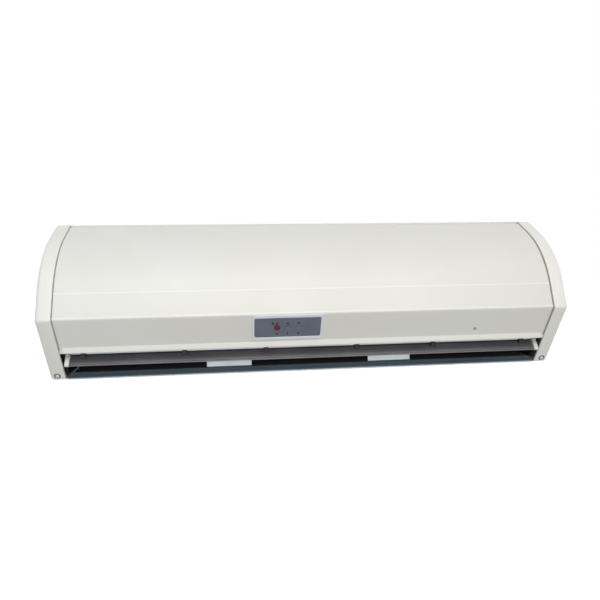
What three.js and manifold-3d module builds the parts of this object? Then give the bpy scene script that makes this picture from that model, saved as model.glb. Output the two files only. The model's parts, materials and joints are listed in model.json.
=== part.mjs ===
// Wall air curtain: a long casing with a curved front cover and two moulded end caps, three cross-flow
// impellers turned by two motors, and a mouth under the lip with one long adjustable vane.
// Millimetres. X runs along the casing, +Y points to the wall, +Z is up. The wall face is Y = 0, and
// X = 0, Z = 0 is the middle of the back plate. A point in a cross-section is (y, z).
import * as THREE from 'three';
import { mergeVertices } from 'three/addons/utils/BufferGeometryUtils.js';
import Module from 'manifold-3d';

const wasm = await Module();
wasm.setup();

// ---------------------------------------------------------------- driving dimensions
const LENGTH = 900;
const HEIGHT = 261;
const DEPTH = 195;
const FIT = 0.3; // gap kept between pieces that touch
const SHEET = 1.5; // folded sheet metal

// Casing outline, from the bottom corner up to the top edge
const CREASE_DROP = 18.1; // foremost crease below mid height
const BOTTOM_SETBACK = 60.2; // bottom corner behind the crease
const FACET_LENGTH = 46; // flat strip above the crease
const FACET_LEAN = 23.1; // degrees back from vertical
const TOP_LEAN = 65; // degrees back from vertical at the top facet
const TOP_FLAT = 51; // level top between the top edge and the wall
const CREASE_RADIUS = 6;
const CORNER_RADIUS = 4;

// End caps
const CAP_WIDTH = 26;
const CAP_WALL = 3.5;
const CAP_EDGE = 7; // rounding of the outer edge
const CAP_OPEN = 7; // the hollow runs this far past the wall, so the cap is open at the back
const RIM_EDGE = 2; // rounding of the edge beside the cover
const COVER_INSET = 4; // cover surface below the cap surface
const COVER_TUCK = 3; // cover end under the cap rim

// Fascia and lip
const FASCIA_LENGTH = 57.6;
const LIP_DROP = 11.5;
const LIP_FLARE = 2.3;
const LIP_HEM = 7;
const TOP_FLANGE = 10;
const LIP_BEND = 2.2;
const FASCIA_BEND = 2;
const TOP_BEND = 2.5;

// Impellers and their scrolls
const SHAFT_BACK = 100; // shaft behind the foremost crease
const SHAFT_RISE = 22.1; // and above it
const IMPELLER_RADIUS = 50;
const BLADE_DEPTH = 11; // radial depth of the blade ring
const BLADE_COUNT = 18;
const BLADE_THICK = 1.2;
const BLADE_SWEEP = 13; // degrees the blade leans forward from root to tip
const DISC_THICK = 2.5;
const SCROLL_GAP = 4; // running gap at the start of the scroll
const SCROLL_GROWTH = 12; // how much the scroll opens before the throat floor
const SCROLL_START = 40; // degrees above horizontal, behind the impeller
const MOUTH_MARGIN = 22; // outer fan mouth inside the cap's rim
const BAY_INNER = 105; // half the length of the middle fan mouth
const END_GAP = 4; // impeller end to scroll wall
const SHAFT_RADIUS = 4;
const HUB_RADIUS = 12;
const HUB_LENGTH = 14;
const RIB_RING = 2; // thickness of the ring that ties the blades at mid length
const SCROLL_FLANGE = 12; // length of the scroll's flange on the back plate
const SCROLL_RUN = 20; // height of the flange above the scroll's first point
const TONGUE_NOSE_AT = 187; // degrees round the shaft, from the wall side upwards
const TONGUE_KNEE_AT = 210;
const TONGUE_GAP = 10; // tongue's knee to the impeller
const TONGUE_SEAT = 6.5; // length that lies on the fascia
const TONGUE_EDGE = 1.5; // tongue's lower bend above the end of the fascia
const SILL_STEP = 9; // front of the sill to the end of the throat floor
const SILL_RISE = 10; // end of the throat floor above the bottom
const SILL_DEPTH = 20;
const SILL_NOSE = 3.6; // height of the sill's front fold above the bottom
const BAY_PLATE_GAP = 4; // vane's sweep to the bay plate
const BAY_BAND_SET = 2; // bright band behind the end of the throat floor
const BAY_BAND_RISE = 14.5;
const BAY_FOOT = 10;
const CHEEK_GAP = 8; // vane's sweep to the scroll's cheeks
const CHEEK_HOLE = 10;
const SHAFT_ENGAGE = 10; // shaft length inside a hub

// Motors
const MOTOR_RADIUS = 41;
const MOTOR_HALF = 26;
const BOSS_RADIUS = 9;
const BOSS_LENGTH = 6;
const MOTOR_GAP = 1.4; // motor boss to the middle bearing holder
const MOTOR_GAP_OUTER = 4; // motor boss to the outer fan mouth
const RING_OUTER = 16;
const RING_LENGTH = 4;
const BRACKET_PLATE = 2;
const BRACKET_HEIGHT = 64;
const BRACKET_EYE = 7; // width of the arm's metal round a rubber ring

// Bearings
const BEARING_OUTER = 11;
const BEARING_LENGTH = 7;
const HOLDER_WALL = 3;
const HOLDER_FLANGE = 20;
const STUB_LENGTH = 12;

// Vane
const PIVOT_BACK = 23.8; // pivot behind the lip edge
const PIVOT_DROP = 3.5;
const VANE_CHORD = 44;
const VANE_THICK = 1.6;
const VANE_LEAN = 36.1; // degrees below horizontal at rest
const VANE_BELOW = 5; // blade middle below the pivot
const VANE_HEM = 2.4; // front edge below the blade's middle line
const VANE_ARCH = 1.4;
const ARM_THICK = 7;
const ARM_TIP = 1; // arm past the blade's edges
const ARM_OVER = 2;
const ARM_UNDER = 3.5;
const ROD_BOSS = 3.5; // plastic round the rod
const ARM_GAP = 1.5; // arm to the side plate
const ROD_RADIUS = 2.5;
const CLIP_INNER = 81;
const CLIP_MIDDLE = 222;
const CLIP_MARGIN = 21; // outermost clip inside the blade's end
const CLIP_WIDTH = 8;
const CLIP_HALF = 9; // foot of a clip, along the blade
const ROD_END = 2; // rod past the side plates
const SIDE_GAP = 3; // side plate inside the cap's rim

// Control panel, in the fascia's own plane
const PANEL_X = -43;
const PANEL_LENGTH = 110;
const PANEL_HEIGHT = 36;
const FRAME_MARGIN = 5;
const FRAME_MARGIN_HIGH = 8;
const FRAME_PROUD = 1.6;
const PLATE_THICK = 1.2;
const WINDOW_MARGIN = 6; // fascia hole smaller than the plate on each side
const COLUMN_FIRST = -18.3;
const COLUMN_PITCH = 18.2;
const LAMP_ROW = 9;
const LAMP_RADIUS = 1.5;
const RECEIVER_X = -26;
const RECEIVER_RADIUS = 2.4;
const POWER_RADIUS = 5;
const KEY_RADIUS = 3.6;
const KEY_PROUD = 1.8;
const KEY_TRAVEL = 1.2;
const BOARD_THICK = 1.6;
const BOARD_SETBACK = 9; // board face behind the fascia skin
const BOARD_MARGIN = 10; // board smaller than the control plate
const POST_RADIUS = 3;
const POST_INSET = 9; // post inside the plate's end
const POST_UP = 9; // post above the plate's middle
const CHIPS = [[16, 10, 4, 24, -2], [12, 12, 6, -30, 0]]; // length, width, height, x, y
const PLATE_CORNER = 3;

// Intake grille
const SLOT_WIDTH = 3.6;
const SLOT_ROWS = 5;
const SLOT_PITCH = 7.6;
const SLOT_BAYS = 6;
const GRILLE_RIB = 8;
const GRILLE_THICK = 2;
const GRILLE_SKIRT = 4.5;

// Fixings and electrics on the back plate
const KEYHOLE_MARGIN_X = 94; // keyhole inside the cap's rim
const KEYHOLE_MARGIN_Z = 42; // keyhole inside the casing's top and bottom
const KEYHOLE_HEAD = 6;
const KEYHOLE_SLOT = 3;
const GROMMET_RADIUS = 11;
const GROMMET_RISE = 34; // above the bottom
const SCREW_RADIUS = 4.5;
const SCREW_HEAD = 2.2;
const SCREW_RISE = 9; // cap screw above the bottom corner, along the slope
const FASCIA_SCREW_X = 285;
const FASCIA_SCREW_DOWN = 46; // below the crease, along the fascia
const CAPACITOR = [48, 22, 30];
const CAPACITOR_GAP = 11; // motor to the capacitor above it
const LUG = [6, 6, 8];
const TERMINAL = [52, 16, 20];
const TERMINAL_GAP = 5; // motor to the terminal block below it
const TERMINAL_PITCH = 10;
const TERMINAL_WELL = 3;

// ---------------------------------------------------------------- small helpers
const rad = THREE.MathUtils.degToRad;
const p2 = (y, z) => new THREE.Vector2(y, z);
const root = new THREE.Group();

function paint(color, roughness, metalness = 0) {
  return new THREE.MeshStandardMaterial({ color, roughness, metalness });
}

const CREAM = paint(0xebe8e2, 0.38);
const CAP_CREAM = paint(0xecebe4, 0.42);
const FRAME_WHITE = paint(0xdfe5ea, 0.45);
const PLATE_GREY = paint(0x5c616e, 0.5);
const RED = paint(0x82283c, 0.35);
const KEY_GREY = paint(0x6b7080, 0.45);
const LAMP = paint(0xb06a5c, 0.25);
const BLACK_PLASTIC = paint(0x1c1a1f, 0.45);
const VANE_GREY = paint(0x4a474c, 0.42);
const WHITE_PLASTIC = paint(0xe6e4de, 0.45);
const GALVANISED = paint(0xa8adb0, 0.42, 0.9);
const DARK_STEEL = paint(0x545d68, 0.45, 0.7);
const BRIGHT_STEEL = paint(0xcdd4d6, 0.3, 1);
const BLACK_STEEL = paint(0x18161c, 0.6, 0.2);
const RUBBER = paint(0x1e1e20, 0.8);
const MOTOR_ALUMINIUM = paint(0x9a9da0, 0.5, 0.8);
const BOARD_GREEN = paint(0x2c5c3c, 0.6);
const CAPACITOR_WHITE = paint(0xd8d6cf, 0.5);

// A three.js geometry as a manifold-3d solid.
function solid(geometry) {
  const bare = geometry.clone();
  bare.deleteAttribute('normal');
  bare.deleteAttribute('uv');
  const merged = mergeVertices(bare, 1e-4);
  return new wasm.Manifold(new wasm.Mesh({
    numProp: 3,
    vertProperties: merged.attributes.position.array,
    triVerts: new Uint32Array(merged.index.array),
  }));
}

// A manifold-3d solid as a three.js geometry.
function geometryOf(made) {
  const mesh = made.getMesh();
  const geometry = new THREE.BufferGeometry();
  geometry.setAttribute('position', new THREE.BufferAttribute(mesh.vertProperties, 3));
  geometry.setIndex(new THREE.BufferAttribute(mesh.triVerts, 1));
  geometry.computeVertexNormals();
  return geometry;
}

function join(first, ...others) {
  return others.reduce((sum, other) => sum.add(other), first);
}

function cut(body, ...tools) {
  return tools.reduce((left, tool) => left.subtract(tool), body);
}

function add(name, made, material) {
  const mesh = new THREE.Mesh(made.isBufferGeometry ? made : geometryOf(made), material);
  mesh.name = name;
  root.add(mesh);
  return mesh;
}

// Turns a geometry drawn in (x, y) and raised along z so that it lies in (y, z) and runs along X.
const TO_X = new THREE.Matrix4().makeBasis(
  new THREE.Vector3(0, 1, 0), new THREE.Vector3(0, 0, 1), new THREE.Vector3(1, 0, 0));

// A closed cross-section run along X from one place to another.
function alongX(points, from, to) {
  const geometry = new THREE.ExtrudeGeometry(new THREE.Shape(points),
    { depth: to - from, bevelEnabled: false });
  return solid(geometry.applyMatrix4(TO_X).translate(from, 0, 0));
}

// A closed body through cross-sections that have the same number of points: rings of [x, points].
function lofted(rings) {
  const count = rings[0][1].length;
  const corners = rings.flatMap(([x, points]) => points.flatMap((p) => [x, p.x, p.y]));
  const faces = [];
  for (let ring = 0; ring + 1 < rings.length; ring++) {
    for (let k = 0; k < count; k++) {
      const a = ring * count + k;
      const b = ring * count + (k + 1) % count;
      faces.push(a, b, b + count, a, b + count, a + count);
    }
  }
  const lid = THREE.ShapeUtils.triangulateShape(rings[0][1], []);
  const last = (rings.length - 1) * count;
  lid.forEach(([a, b, c]) => faces.push(a, c, b));
  THREE.ShapeUtils.triangulateShape(rings[rings.length - 1][1], [])
    .forEach(([a, b, c]) => faces.push(last + a, last + b, last + c));
  const geometry = new THREE.BufferGeometry();
  geometry.setAttribute('position', new THREE.Float32BufferAttribute(corners, 3));
  geometry.setIndex(faces);
  return solid(geometry);
}

// A profile of (radius, x) points turned about a line along X through (y, z).
function turned(profile, y, z, steps = 24) {
  const geometry = new THREE.LatheGeometry(profile.map(([r, x]) => new THREE.Vector2(r, x)), steps);
  return solid(geometry.rotateZ(-Math.PI / 2).translate(0, y, z));
}

function rod(radius, from, to, y, z, steps = 16) {
  return turned([[0, from], [radius, from], [radius, to], [0, to]], y, z, steps);
}

function box(x0, x1, y0, y1, z0, z1) {
  const geometry = new THREE.BoxGeometry(x1 - x0, y1 - y0, z1 - z0);
  return solid(geometry.translate((x0 + x1) / 2, (y0 + y1) / 2, (z0 + z1) / 2));
}

// The path moved sideways by a distance, to its left when positive, with mitred corners.
function offsetPath(path, distance) {
  const normals = path.slice(1).map((p, i) => {
    const d = p.clone().sub(path[i]).normalize();
    return p2(-d.y, d.x);
  });
  return path.map((p, i) => {
    const before = normals[Math.max(i - 1, 0)];
    const after = normals[Math.min(i, normals.length - 1)];
    const mitre = before.clone().add(after).normalize();
    return p.clone().addScaledVector(mitre, distance / mitre.dot(after));
  });
}

// The closed cross-section of a folded sheet that follows a path.
function sheetAlong(path, thickness) {
  return [...path, ...offsetPath(path, thickness).reverse()];
}

// Rounds the inner corners of a path of [point, radius] pairs.
function rounded(corners, steps = 4) {
  const out = [];
  corners.forEach(([p, r], i) => {
    if (!r || i === 0 || i === corners.length - 1) {
      out.push(p);
      return;
    }
    const back = corners[i - 1][0].clone().sub(p).normalize();
    const ahead = corners[i + 1][0].clone().sub(p).normalize();
    const half = Math.acos(THREE.MathUtils.clamp(back.dot(ahead), -1, 1)) / 2;
    const reach = r / Math.tan(half);
    const centre = p.clone().addScaledVector(back.clone().add(ahead).normalize(), r / Math.sin(half));
    const start = p.clone().addScaledVector(back, reach).sub(centre);
    const end = p.clone().addScaledVector(ahead, reach).sub(centre);
    const turn = Math.atan2(start.cross(end), start.dot(end));
    for (let k = 0; k <= steps; k++) {
      out.push(start.clone().rotateAround(p2(0, 0), turn * k / steps).add(centre));
    }
  });
  return out;
}

// ---------------------------------------------------------------- casing outline
const HALF = LENGTH / 2;
const TOP_Z = HEIGHT / 2;
const BOTTOM_Z = -HEIGHT / 2;
const CREASE = p2(-DEPTH, -CREASE_DROP);
const BOTTOM_CORNER = p2(-DEPTH + BOTTOM_SETBACK, BOTTOM_Z);
const SHAFT_Y = CREASE.x + SHAFT_BACK;
const SHAFT_Z = CREASE.y + SHAFT_RISE;
const DOWN_FASCIA = BOTTOM_CORNER.clone().sub(CREASE).normalize();
const OUT_FASCIA = p2(DOWN_FASCIA.y, -DOWN_FASCIA.x);

// Points from the crease up to the top edge: a flat facet, the big bend and the flat top facet. The
// bend's radius and the top facet's length are the ones that lead to the level top's front edge.
function crown(steps = 10) {
  const lean = rad(FACET_LEAN);
  const last = rad(TOP_LEAN);
  const along = (turn) => p2(Math.sin(turn), Math.cos(turn));
  const bend = p2(Math.cos(lean) - Math.cos(last), Math.sin(last) - Math.sin(lean));
  const start = CREASE.clone().addScaledVector(along(lean), FACET_LENGTH);
  const top = p2(-TOP_FLAT, TOP_Z);
  const radius = top.clone().sub(start).cross(along(last)) / bend.cross(along(last));
  const points = [CREASE.clone()];
  for (let k = 0; k <= steps; k++) {
    const turn = lean + (last - lean) * k / steps;
    points.push(start.clone().add(
      p2(Math.cos(lean) - Math.cos(turn), Math.sin(turn) - Math.sin(lean)).multiplyScalar(radius)));
  }
  points.push(top);
  return points;
}

const CROWN = crown();

// The whole outline as an open path, from the wall at the bottom round the front to the wall at the top,
// drawn a distance inside the casing.
function casingPath(inset = 0) {
  const sharp = [p2(0, BOTTOM_Z), BOTTOM_CORNER, ...CROWN, p2(0, TOP_Z)];
  const radii = sharp.map(() => 0);
  radii[1] = Math.max(CORNER_RADIUS - inset, 1);
  radii[2] = Math.max(CREASE_RADIUS - inset, 1);
  radii[radii.length - 2] = Math.max(CORNER_RADIUS - inset, 1);
  return rounded(offsetPath(sharp, -inset).map((p, i) => [p, radii[i]]));
}

const RIM_X = HALF - CAP_WIDTH; // inner face of a cap's rim
const MOUTH_OUTER = RIM_X - MOUTH_MARGIN;
const HOLDER_LENGTH = 1.5 * HOLDER_WALL + BEARING_LENGTH + FIT;
const MOTOR_REACH = MOTOR_HALF + BOSS_LENGTH;
const MOTOR_X = BAY_INNER + SHEET + FIT + HOLDER_LENGTH + MOTOR_GAP + MOTOR_REACH;
const BAY_OUTER = MOTOR_X + MOTOR_REACH + MOTOR_GAP_OUTER;
const COVER_CROWN = offsetPath([BOTTOM_CORNER, ...CROWN], -COVER_INSET).slice(1);
const COVER_CREASE = COVER_CROWN[0];
const FASCIA_END = COVER_CREASE.clone().addScaledVector(DOWN_FASCIA, FASCIA_LENGTH);
const LIP = FASCIA_END.clone().add(p2(-LIP_FLARE, -LIP_DROP));

// ---------------------------------------------------------------- end caps
function capScrewHole(side) {
  const head = screwPlace(side);
  const hole = new THREE.CylinderGeometry(SCREW_RADIUS / 2, SCREW_RADIUS / 2, 3 * CAP_WALL, 12);
  return solid(hole.applyMatrix4(head));
}

// Where a cap screw sits: on the slanted strip just above the bottom corner, with Y along its normal.
function screwPlace(side) {
  const at = BOTTOM_CORNER.clone().addScaledVector(DOWN_FASCIA, -SCREW_RISE);
  return new THREE.Matrix4().makeBasis(
    new THREE.Vector3(1, 0, 0),
    new THREE.Vector3(0, OUT_FASCIA.x, OUT_FASCIA.y),
    new THREE.Vector3(0, -OUT_FASCIA.y, OUT_FASCIA.x))
    .setPosition(side * (HALF - CAP_WIDTH / 2), at.x, at.y);
}

function endCap(side) {
  const rings = [];
  const steps = 2;
  for (let k = 0; k <= steps; k++) {
    const turn = Math.PI / 2 * k / steps;
    rings.push([RIM_X + RIM_EDGE * (1 - Math.cos(turn)),
      casingPath(RIM_EDGE * (1 - Math.sin(turn))).reverse()]);
  }
  for (let k = 0; k <= steps; k++) {
    const turn = Math.PI / 2 * k / steps;
    rings.push([HALF - CAP_EDGE * (1 - Math.sin(turn)),
      casingPath(CAP_EDGE * (1 - Math.cos(turn))).reverse()]);
  }
  const inner = casingPath(CAP_WALL);
  const behind = [p2(CAP_OPEN, inner[inner.length - 1].y), p2(CAP_OPEN, inner[0].y)];
  const hollow = alongX([...inner, ...behind], RIM_X - 1, HALF - CAP_WALL);
  const cap = cut(lofted(rings), hollow);
  const placed = side < 0 ? cap.mirror([1, 0, 0]) : cap;
  return cut(placed, capScrewHole(side));
}

function capScrew() {
  const dome = [];
  for (let k = 0; k <= 3; k++) {
    const turn = Math.PI / 2 * k / 3;
    dome.push(new THREE.Vector2(SCREW_RADIUS * Math.cos(turn), FIT + SCREW_HEAD * Math.sin(turn)));
  }
  dome[dome.length - 1].x = 0;
  const stem = [new THREE.Vector2(0, -CAP_WALL), new THREE.Vector2(SCREW_RADIUS / 2 - FIT, -CAP_WALL),
    new THREE.Vector2(SCREW_RADIUS / 2 - FIT, FIT)];
  return new THREE.LatheGeometry([...stem, ...dome], 12);
}

// ---------------------------------------------------------------- front cover
function fasciaFrame(x, along, out) {
  const at = COVER_CREASE.clone().addScaledVector(DOWN_FASCIA, along).addScaledVector(OUT_FASCIA, out);
  return new THREE.Matrix4().makeBasis(
    new THREE.Vector3(1, 0, 0),
    new THREE.Vector3(0, -DOWN_FASCIA.x, -DOWN_FASCIA.y),
    new THREE.Vector3(0, OUT_FASCIA.x, OUT_FASCIA.y)).setPosition(x, at.x, at.y);
}

const PANEL = fasciaFrame(PANEL_X, FASCIA_LENGTH / 2, 0);

// A rounded plate in the panel's plane: its back face sits at height `from`, its front at `to`.
function panelPlate(width, height, radius, from, to, x = 0, y = 0) {
  const w = width / 2 - radius;
  const h = height / 2 - radius;
  const shape = new THREE.Shape();
  shape.absarc(x + w, y + h, radius, 0, Math.PI / 2);
  shape.absarc(x - w, y + h, radius, Math.PI / 2, Math.PI);
  shape.absarc(x - w, y - h, radius, Math.PI, 1.5 * Math.PI);
  shape.absarc(x + w, y - h, radius, 1.5 * Math.PI, 2 * Math.PI);
  const plate = new THREE.ExtrudeGeometry(shape, { depth: to - from, bevelEnabled: false, curveSegments: 2 });
  return solid(plate.translate(0, 0, from).applyMatrix4(PANEL));
}

function panelRound(radius, from, to, x, y, steps = 16) {
  const disc = new THREE.CylinderGeometry(radius, radius, to - from, steps);
  return solid(disc.rotateX(Math.PI / 2).translate(x, y, (from + to) / 2).applyMatrix4(PANEL));
}

function frontCover() {
  const hem = LIP.clone().add(p2(LIP_HEM, LIP_HEM / 3));
  const flange = COVER_CROWN[COVER_CROWN.length - 1].clone().add(p2(0, -TOP_FLANGE));
  const path = rounded([[hem, 0], [LIP, LIP_BEND], [FASCIA_END, FASCIA_BEND],
    [COVER_CREASE, CREASE_RADIUS - RIM_EDGE], ...COVER_CROWN.slice(1, -1).map((p) => [p, 0]),
    [COVER_CROWN[COVER_CROWN.length - 1], TOP_BEND], [flange, 0]], 3);
  const reach = RIM_X + COVER_TUCK;
  const skin = alongX(sheetAlong(path, -SHEET), -reach, reach);
  // The lip and the top flange stop at the cap rims, and only the skin between them is tucked under.
  const notch = box(RIM_X - FIT, HALF, -DEPTH, 0, BOTTOM_Z, FASCIA_END.y);
  const opening = panelPlate(PANEL_LENGTH - 2 * WINDOW_MARGIN, PANEL_HEIGHT - WINDOW_MARGIN, PLATE_CORNER,
    -4 * SHEET, 4 * SHEET);
  return cut(skin, notch, notch.mirror([1, 0, 0]), opening, fasciaScrewHole());
}

function fasciaScrewPlace() {
  return fasciaFrame(FASCIA_SCREW_X, FASCIA_SCREW_DOWN, 0)
    .multiply(new THREE.Matrix4().makeRotationX(Math.PI / 2));
}

function fasciaScrewHole() {
  const hole = new THREE.CylinderGeometry(SCREW_RADIUS / 2, SCREW_RADIUS / 2, 4 * SHEET, 12);
  return solid(hole.applyMatrix4(fasciaScrewPlace()));
}

// ---------------------------------------------------------------- back plate with its bottom panel
function keyhole(x, z) {
  const head = new THREE.CylinderGeometry(KEYHOLE_HEAD, KEYHOLE_HEAD, 4 * SHEET, 16).translate(x, 0, z);
  const slot = box(x - KEYHOLE_SLOT, x + KEYHOLE_SLOT, -2 * SHEET, 2 * SHEET, z, z + 2 * KEYHOLE_HEAD);
  return join(solid(head), slot);
}

const KEYHOLE_X = RIM_X - KEYHOLE_MARGIN_X;
const KEYHOLE_Z = TOP_Z - KEYHOLE_MARGIN_Z;
const GROMMET_Z = BOTTOM_Z + GROMMET_RISE;
const BACK_X = HALF - CAP_WALL - FIT;
const BACK_TOP = TOP_Z - GRILLE_SKIRT;

function backPlate() {
  const inner = RIM_X - FIT;
  const wall = box(-BACK_X, BACK_X, -SHEET, 0, BOTTOM_Z + CAP_WALL + FIT, BACK_TOP);
  const tip = BOTTOM_CORNER.x + FIT;
  const upper = BOTTOM_Z + SHEET;
  const joint = BOTTOM_Z + 3 * CAP_WALL;
  const floor = alongX([p2(0, BOTTOM_Z), p2(tip, BOTTOM_Z), p2(tip, upper), p2(-SHEET, upper),
    p2(-SHEET, joint), p2(0, joint)], -inner, inner);
  const grommetHole = solid(new THREE.CylinderGeometry(GROMMET_RADIUS, GROMMET_RADIUS, 4 * SHEET, 20)
    .translate(MOTOR_X, 0, GROMMET_Z));
  return cut(join(wall, floor), keyhole(-KEYHOLE_X, KEYHOLE_Z), keyhole(KEYHOLE_X, KEYHOLE_Z),
    keyhole(-KEYHOLE_X, -KEYHOLE_Z), keyhole(KEYHOLE_X, -KEYHOLE_Z), grommetHole);
}

function cableGrommet() {
  const bore = GROMMET_RADIUS / 2;
  const profile = [[bore, 0.2], [GROMMET_RADIUS - FIT, 0.2], [GROMMET_RADIUS - FIT, SHEET + FIT],
    [GROMMET_RADIUS + 2, SHEET + FIT], [GROMMET_RADIUS + 2, SHEET + 3], [bore, SHEET + 5], [bore, 0.2]];
  const geometry = new THREE.LatheGeometry(profile.map(([r, y]) => new THREE.Vector2(r, y)), 14);
  return solid(geometry.rotateX(Math.PI).translate(MOTOR_X, 0, GROMMET_Z));
}

// ---------------------------------------------------------------- intake grille on top
function intakeGrille() {
  const reach = RIM_X - FIT;
  const front = COVER_CROWN[COVER_CROWN.length - 1].x + SHEET + FIT;
  const top = TOP_Z - FIT;
  const under = top - GRILLE_THICK;
  const low = BACK_TOP + FIT;
  const plate = box(-reach, reach, front, 0, low, top);
  const pocket = box(-reach + GRILLE_THICK, reach - GRILLE_THICK, front + GRILLE_THICK, -2 * SHEET,
    low - 1, under);
  const bay = (2 * reach - 2 * GRILLE_RIB) / SLOT_BAYS;
  const middle = front / 2;
  const slots = [];
  for (let row = 0; row < SLOT_ROWS; row++) {
    const y = middle + (row - (SLOT_ROWS - 1) / 2) * SLOT_PITCH;
    for (let k = 0; k < SLOT_BAYS; k++) {
      const x = -reach + GRILLE_RIB + k * bay;
      slots.push(box(x + GRILLE_RIB / 2, x + bay - GRILLE_RIB / 2, y - SLOT_WIDTH / 2, y + SLOT_WIDTH / 2,
        under - 1, top + 1));
    }
  }
  return cut(plate, pocket, ...slots);
}

// ---------------------------------------------------------------- air path
// A point round the impeller: the angle is in degrees, from the wall side upwards.
function roundShaft(radius, degrees) {
  return p2(SHAFT_Y + radius * Math.cos(rad(degrees)), SHAFT_Z + radius * Math.sin(rad(degrees)));
}

const SILL_FRONT = BOTTOM_CORNER.x + 3 * FIT;
const SILL_BACK = SILL_FRONT + SILL_DEPTH;
const FLOOR_END = SILL_FRONT + SILL_STEP;
const FLOOR_TIP = p2(FLOOR_END, BOTTOM_Z + SILL_RISE);

// The scroll ends where its tangent leads to the tip of the throat floor.
const SCROLL_REACH = IMPELLER_RADIUS + SCROLL_GAP + SCROLL_GROWTH;
const TO_TIP = FLOOR_TIP.clone().sub(p2(SHAFT_Y, SHAFT_Z));
const SCROLL_END = Math.atan2(TO_TIP.y, TO_TIP.x) + Math.acos(SCROLL_REACH / TO_TIP.length());
const FLOOR_TURN = SCROLL_END + Math.PI / 2;

// The inner side of the scroll, from its flange on the back plate, round behind the impeller, to the
// end of the throat floor.
function scrollPath(steps = 8) {
  const start = roundShaft(IMPELLER_RADIUS + SCROLL_GAP, SCROLL_START);
  const wall = -SHEET - FIT - SHEET;
  const path = [p2(wall, start.y + SCROLL_RUN + SCROLL_FLANGE), p2(wall, start.y + SCROLL_RUN), start];
  const end = THREE.MathUtils.radToDeg(SCROLL_END);
  for (let k = 1; k <= steps; k++) {
    const share = k / steps;
    path.push(roundShaft(IMPELLER_RADIUS + SCROLL_GAP + SCROLL_GROWTH * share,
      SCROLL_START + (end - SCROLL_START) * share));
  }
  path.push(FLOOR_TIP);
  return path;
}

const SCROLL = scrollPath();

// Height at a depth y of a line that runs along the throat floor, a gap below its upper side.
function underFloor(y, gap) {
  return FLOOR_TIP.y + (y - FLOOR_TIP.x) * Math.tan(FLOOR_TURN) - gap / Math.cos(FLOOR_TURN);
}

const PIVOT = LIP.clone().add(p2(PIVOT_BACK, -PIVOT_DROP));
const VANE_SWEEP = Math.hypot(VANE_CHORD / 2, VANE_BELOW + VANE_HEM);
const TONGUE_NOSE = roundShaft(IMPELLER_RADIUS + SCROLL_GAP, TONGUE_NOSE_AT);
const TONGUE_KNEE = roundShaft(IMPELLER_RADIUS + TONGUE_GAP, TONGUE_KNEE_AT);

// The cheek that closes a scroll's end: behind it the impeller's end disc turns.
function cheekOutline() {
  const outer = offsetPath(SCROLL, SHEET).slice(2);
  const front = [];
  const mouth = PIVOT.x + VANE_CHORD / 2 + CHEEK_GAP;
  front.push(p2(mouth, underFloor(mouth, -SHEET)));
  front.push(p2(mouth, TONGUE_KNEE.y - CHEEK_GAP));
  for (let angle = 200; angle >= SCROLL_START; angle -= 20) {
    front.push(roundShaft(IMPELLER_RADIUS + SCROLL_GAP / 2, angle));
  }
  return [...outer.slice(0, -1), ...front];
}

function scroll(from, to) {
  const guide = alongX(sheetAlong(SCROLL, SHEET), from - SHEET, to + SHEET);
  const outline = cheekOutline();
  const hole = (x) => rod(CHEEK_HOLE, x - SHEET, x + 2 * SHEET, SHAFT_Y, SHAFT_Z, 12);
  const cheek = (x) => cut(alongX(outline, x, x + SHEET), hole(x));
  return join(guide, cheek(from - SHEET), cheek(to));
}

// The sheet between the lip and the impellers, which closes the front of the air path.
function outletTongue(reach) {
  const high = COVER_CREASE.clone()
    .addScaledVector(DOWN_FASCIA, FASCIA_LENGTH - TONGUE_SEAT - TONGUE_EDGE)
    .addScaledVector(OUT_FASCIA, -SHEET - FIT);
  const low = high.clone().addScaledVector(DOWN_FASCIA, TONGUE_SEAT);
  const path = [high, low, TONGUE_KNEE, TONGUE_NOSE];
  return alongX(sheetAlong(path, SHEET), -reach, reach);
}

// The strip that forms the back edge of the mouth and stands on the bottom panel.
function outletSill(reach) {
  const back = p2(SILL_BACK, underFloor(SILL_BACK, SHEET + FIT));
  const hinge = p2(FLOOR_END - SHEET / 3, underFloor(FLOOR_END - SHEET / 3, SHEET + FIT));
  const front = p2(SILL_FRONT, BOTTOM_Z + SILL_NOSE);
  const foot = p2(SILL_FRONT, BOTTOM_Z + SHEET + FIT);
  return alongX(sheetAlong([back, hinge, front, foot], SHEET), -reach, reach);
}

// The bright plate that closes a motor bay: a foot on the sill, a band that faces the front, and a
// wall behind the vane that leans forward to the tongue.
function bayPlate(side) {
  const x0 = BAY_INNER + SHEET + FIT;
  const x1 = BAY_OUTER - SHEET - FIT;
  const band = FLOOR_END + BAY_BAND_SET;
  const low = underFloor(band, SHEET);
  const back = PIVOT.x + VANE_SWEEP + BAY_PLATE_GAP;
  const path = [
    p2(band + BAY_FOOT, underFloor(band + BAY_FOOT, SHEET)),
    p2(band, low),
    p2(band + SHEET, low + BAY_BAND_RISE),
    p2(back, low + BAY_BAND_RISE + SHEET),
    p2(back, PIVOT.y + VANE_CHORD / 2),
    p2(TONGUE_KNEE.x + BAY_PLATE_GAP + 2 * SHEET, TONGUE_KNEE.y - 2 * BAY_PLATE_GAP),
  ];
  const made = alongX(sheetAlong(path, -SHEET), x0, x1);
  return side < 0 ? made.mirror([1, 0, 0]) : made;
}

// ---------------------------------------------------------------- side plates
const SIDE_X = RIM_X - FIT - SIDE_GAP;

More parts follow.
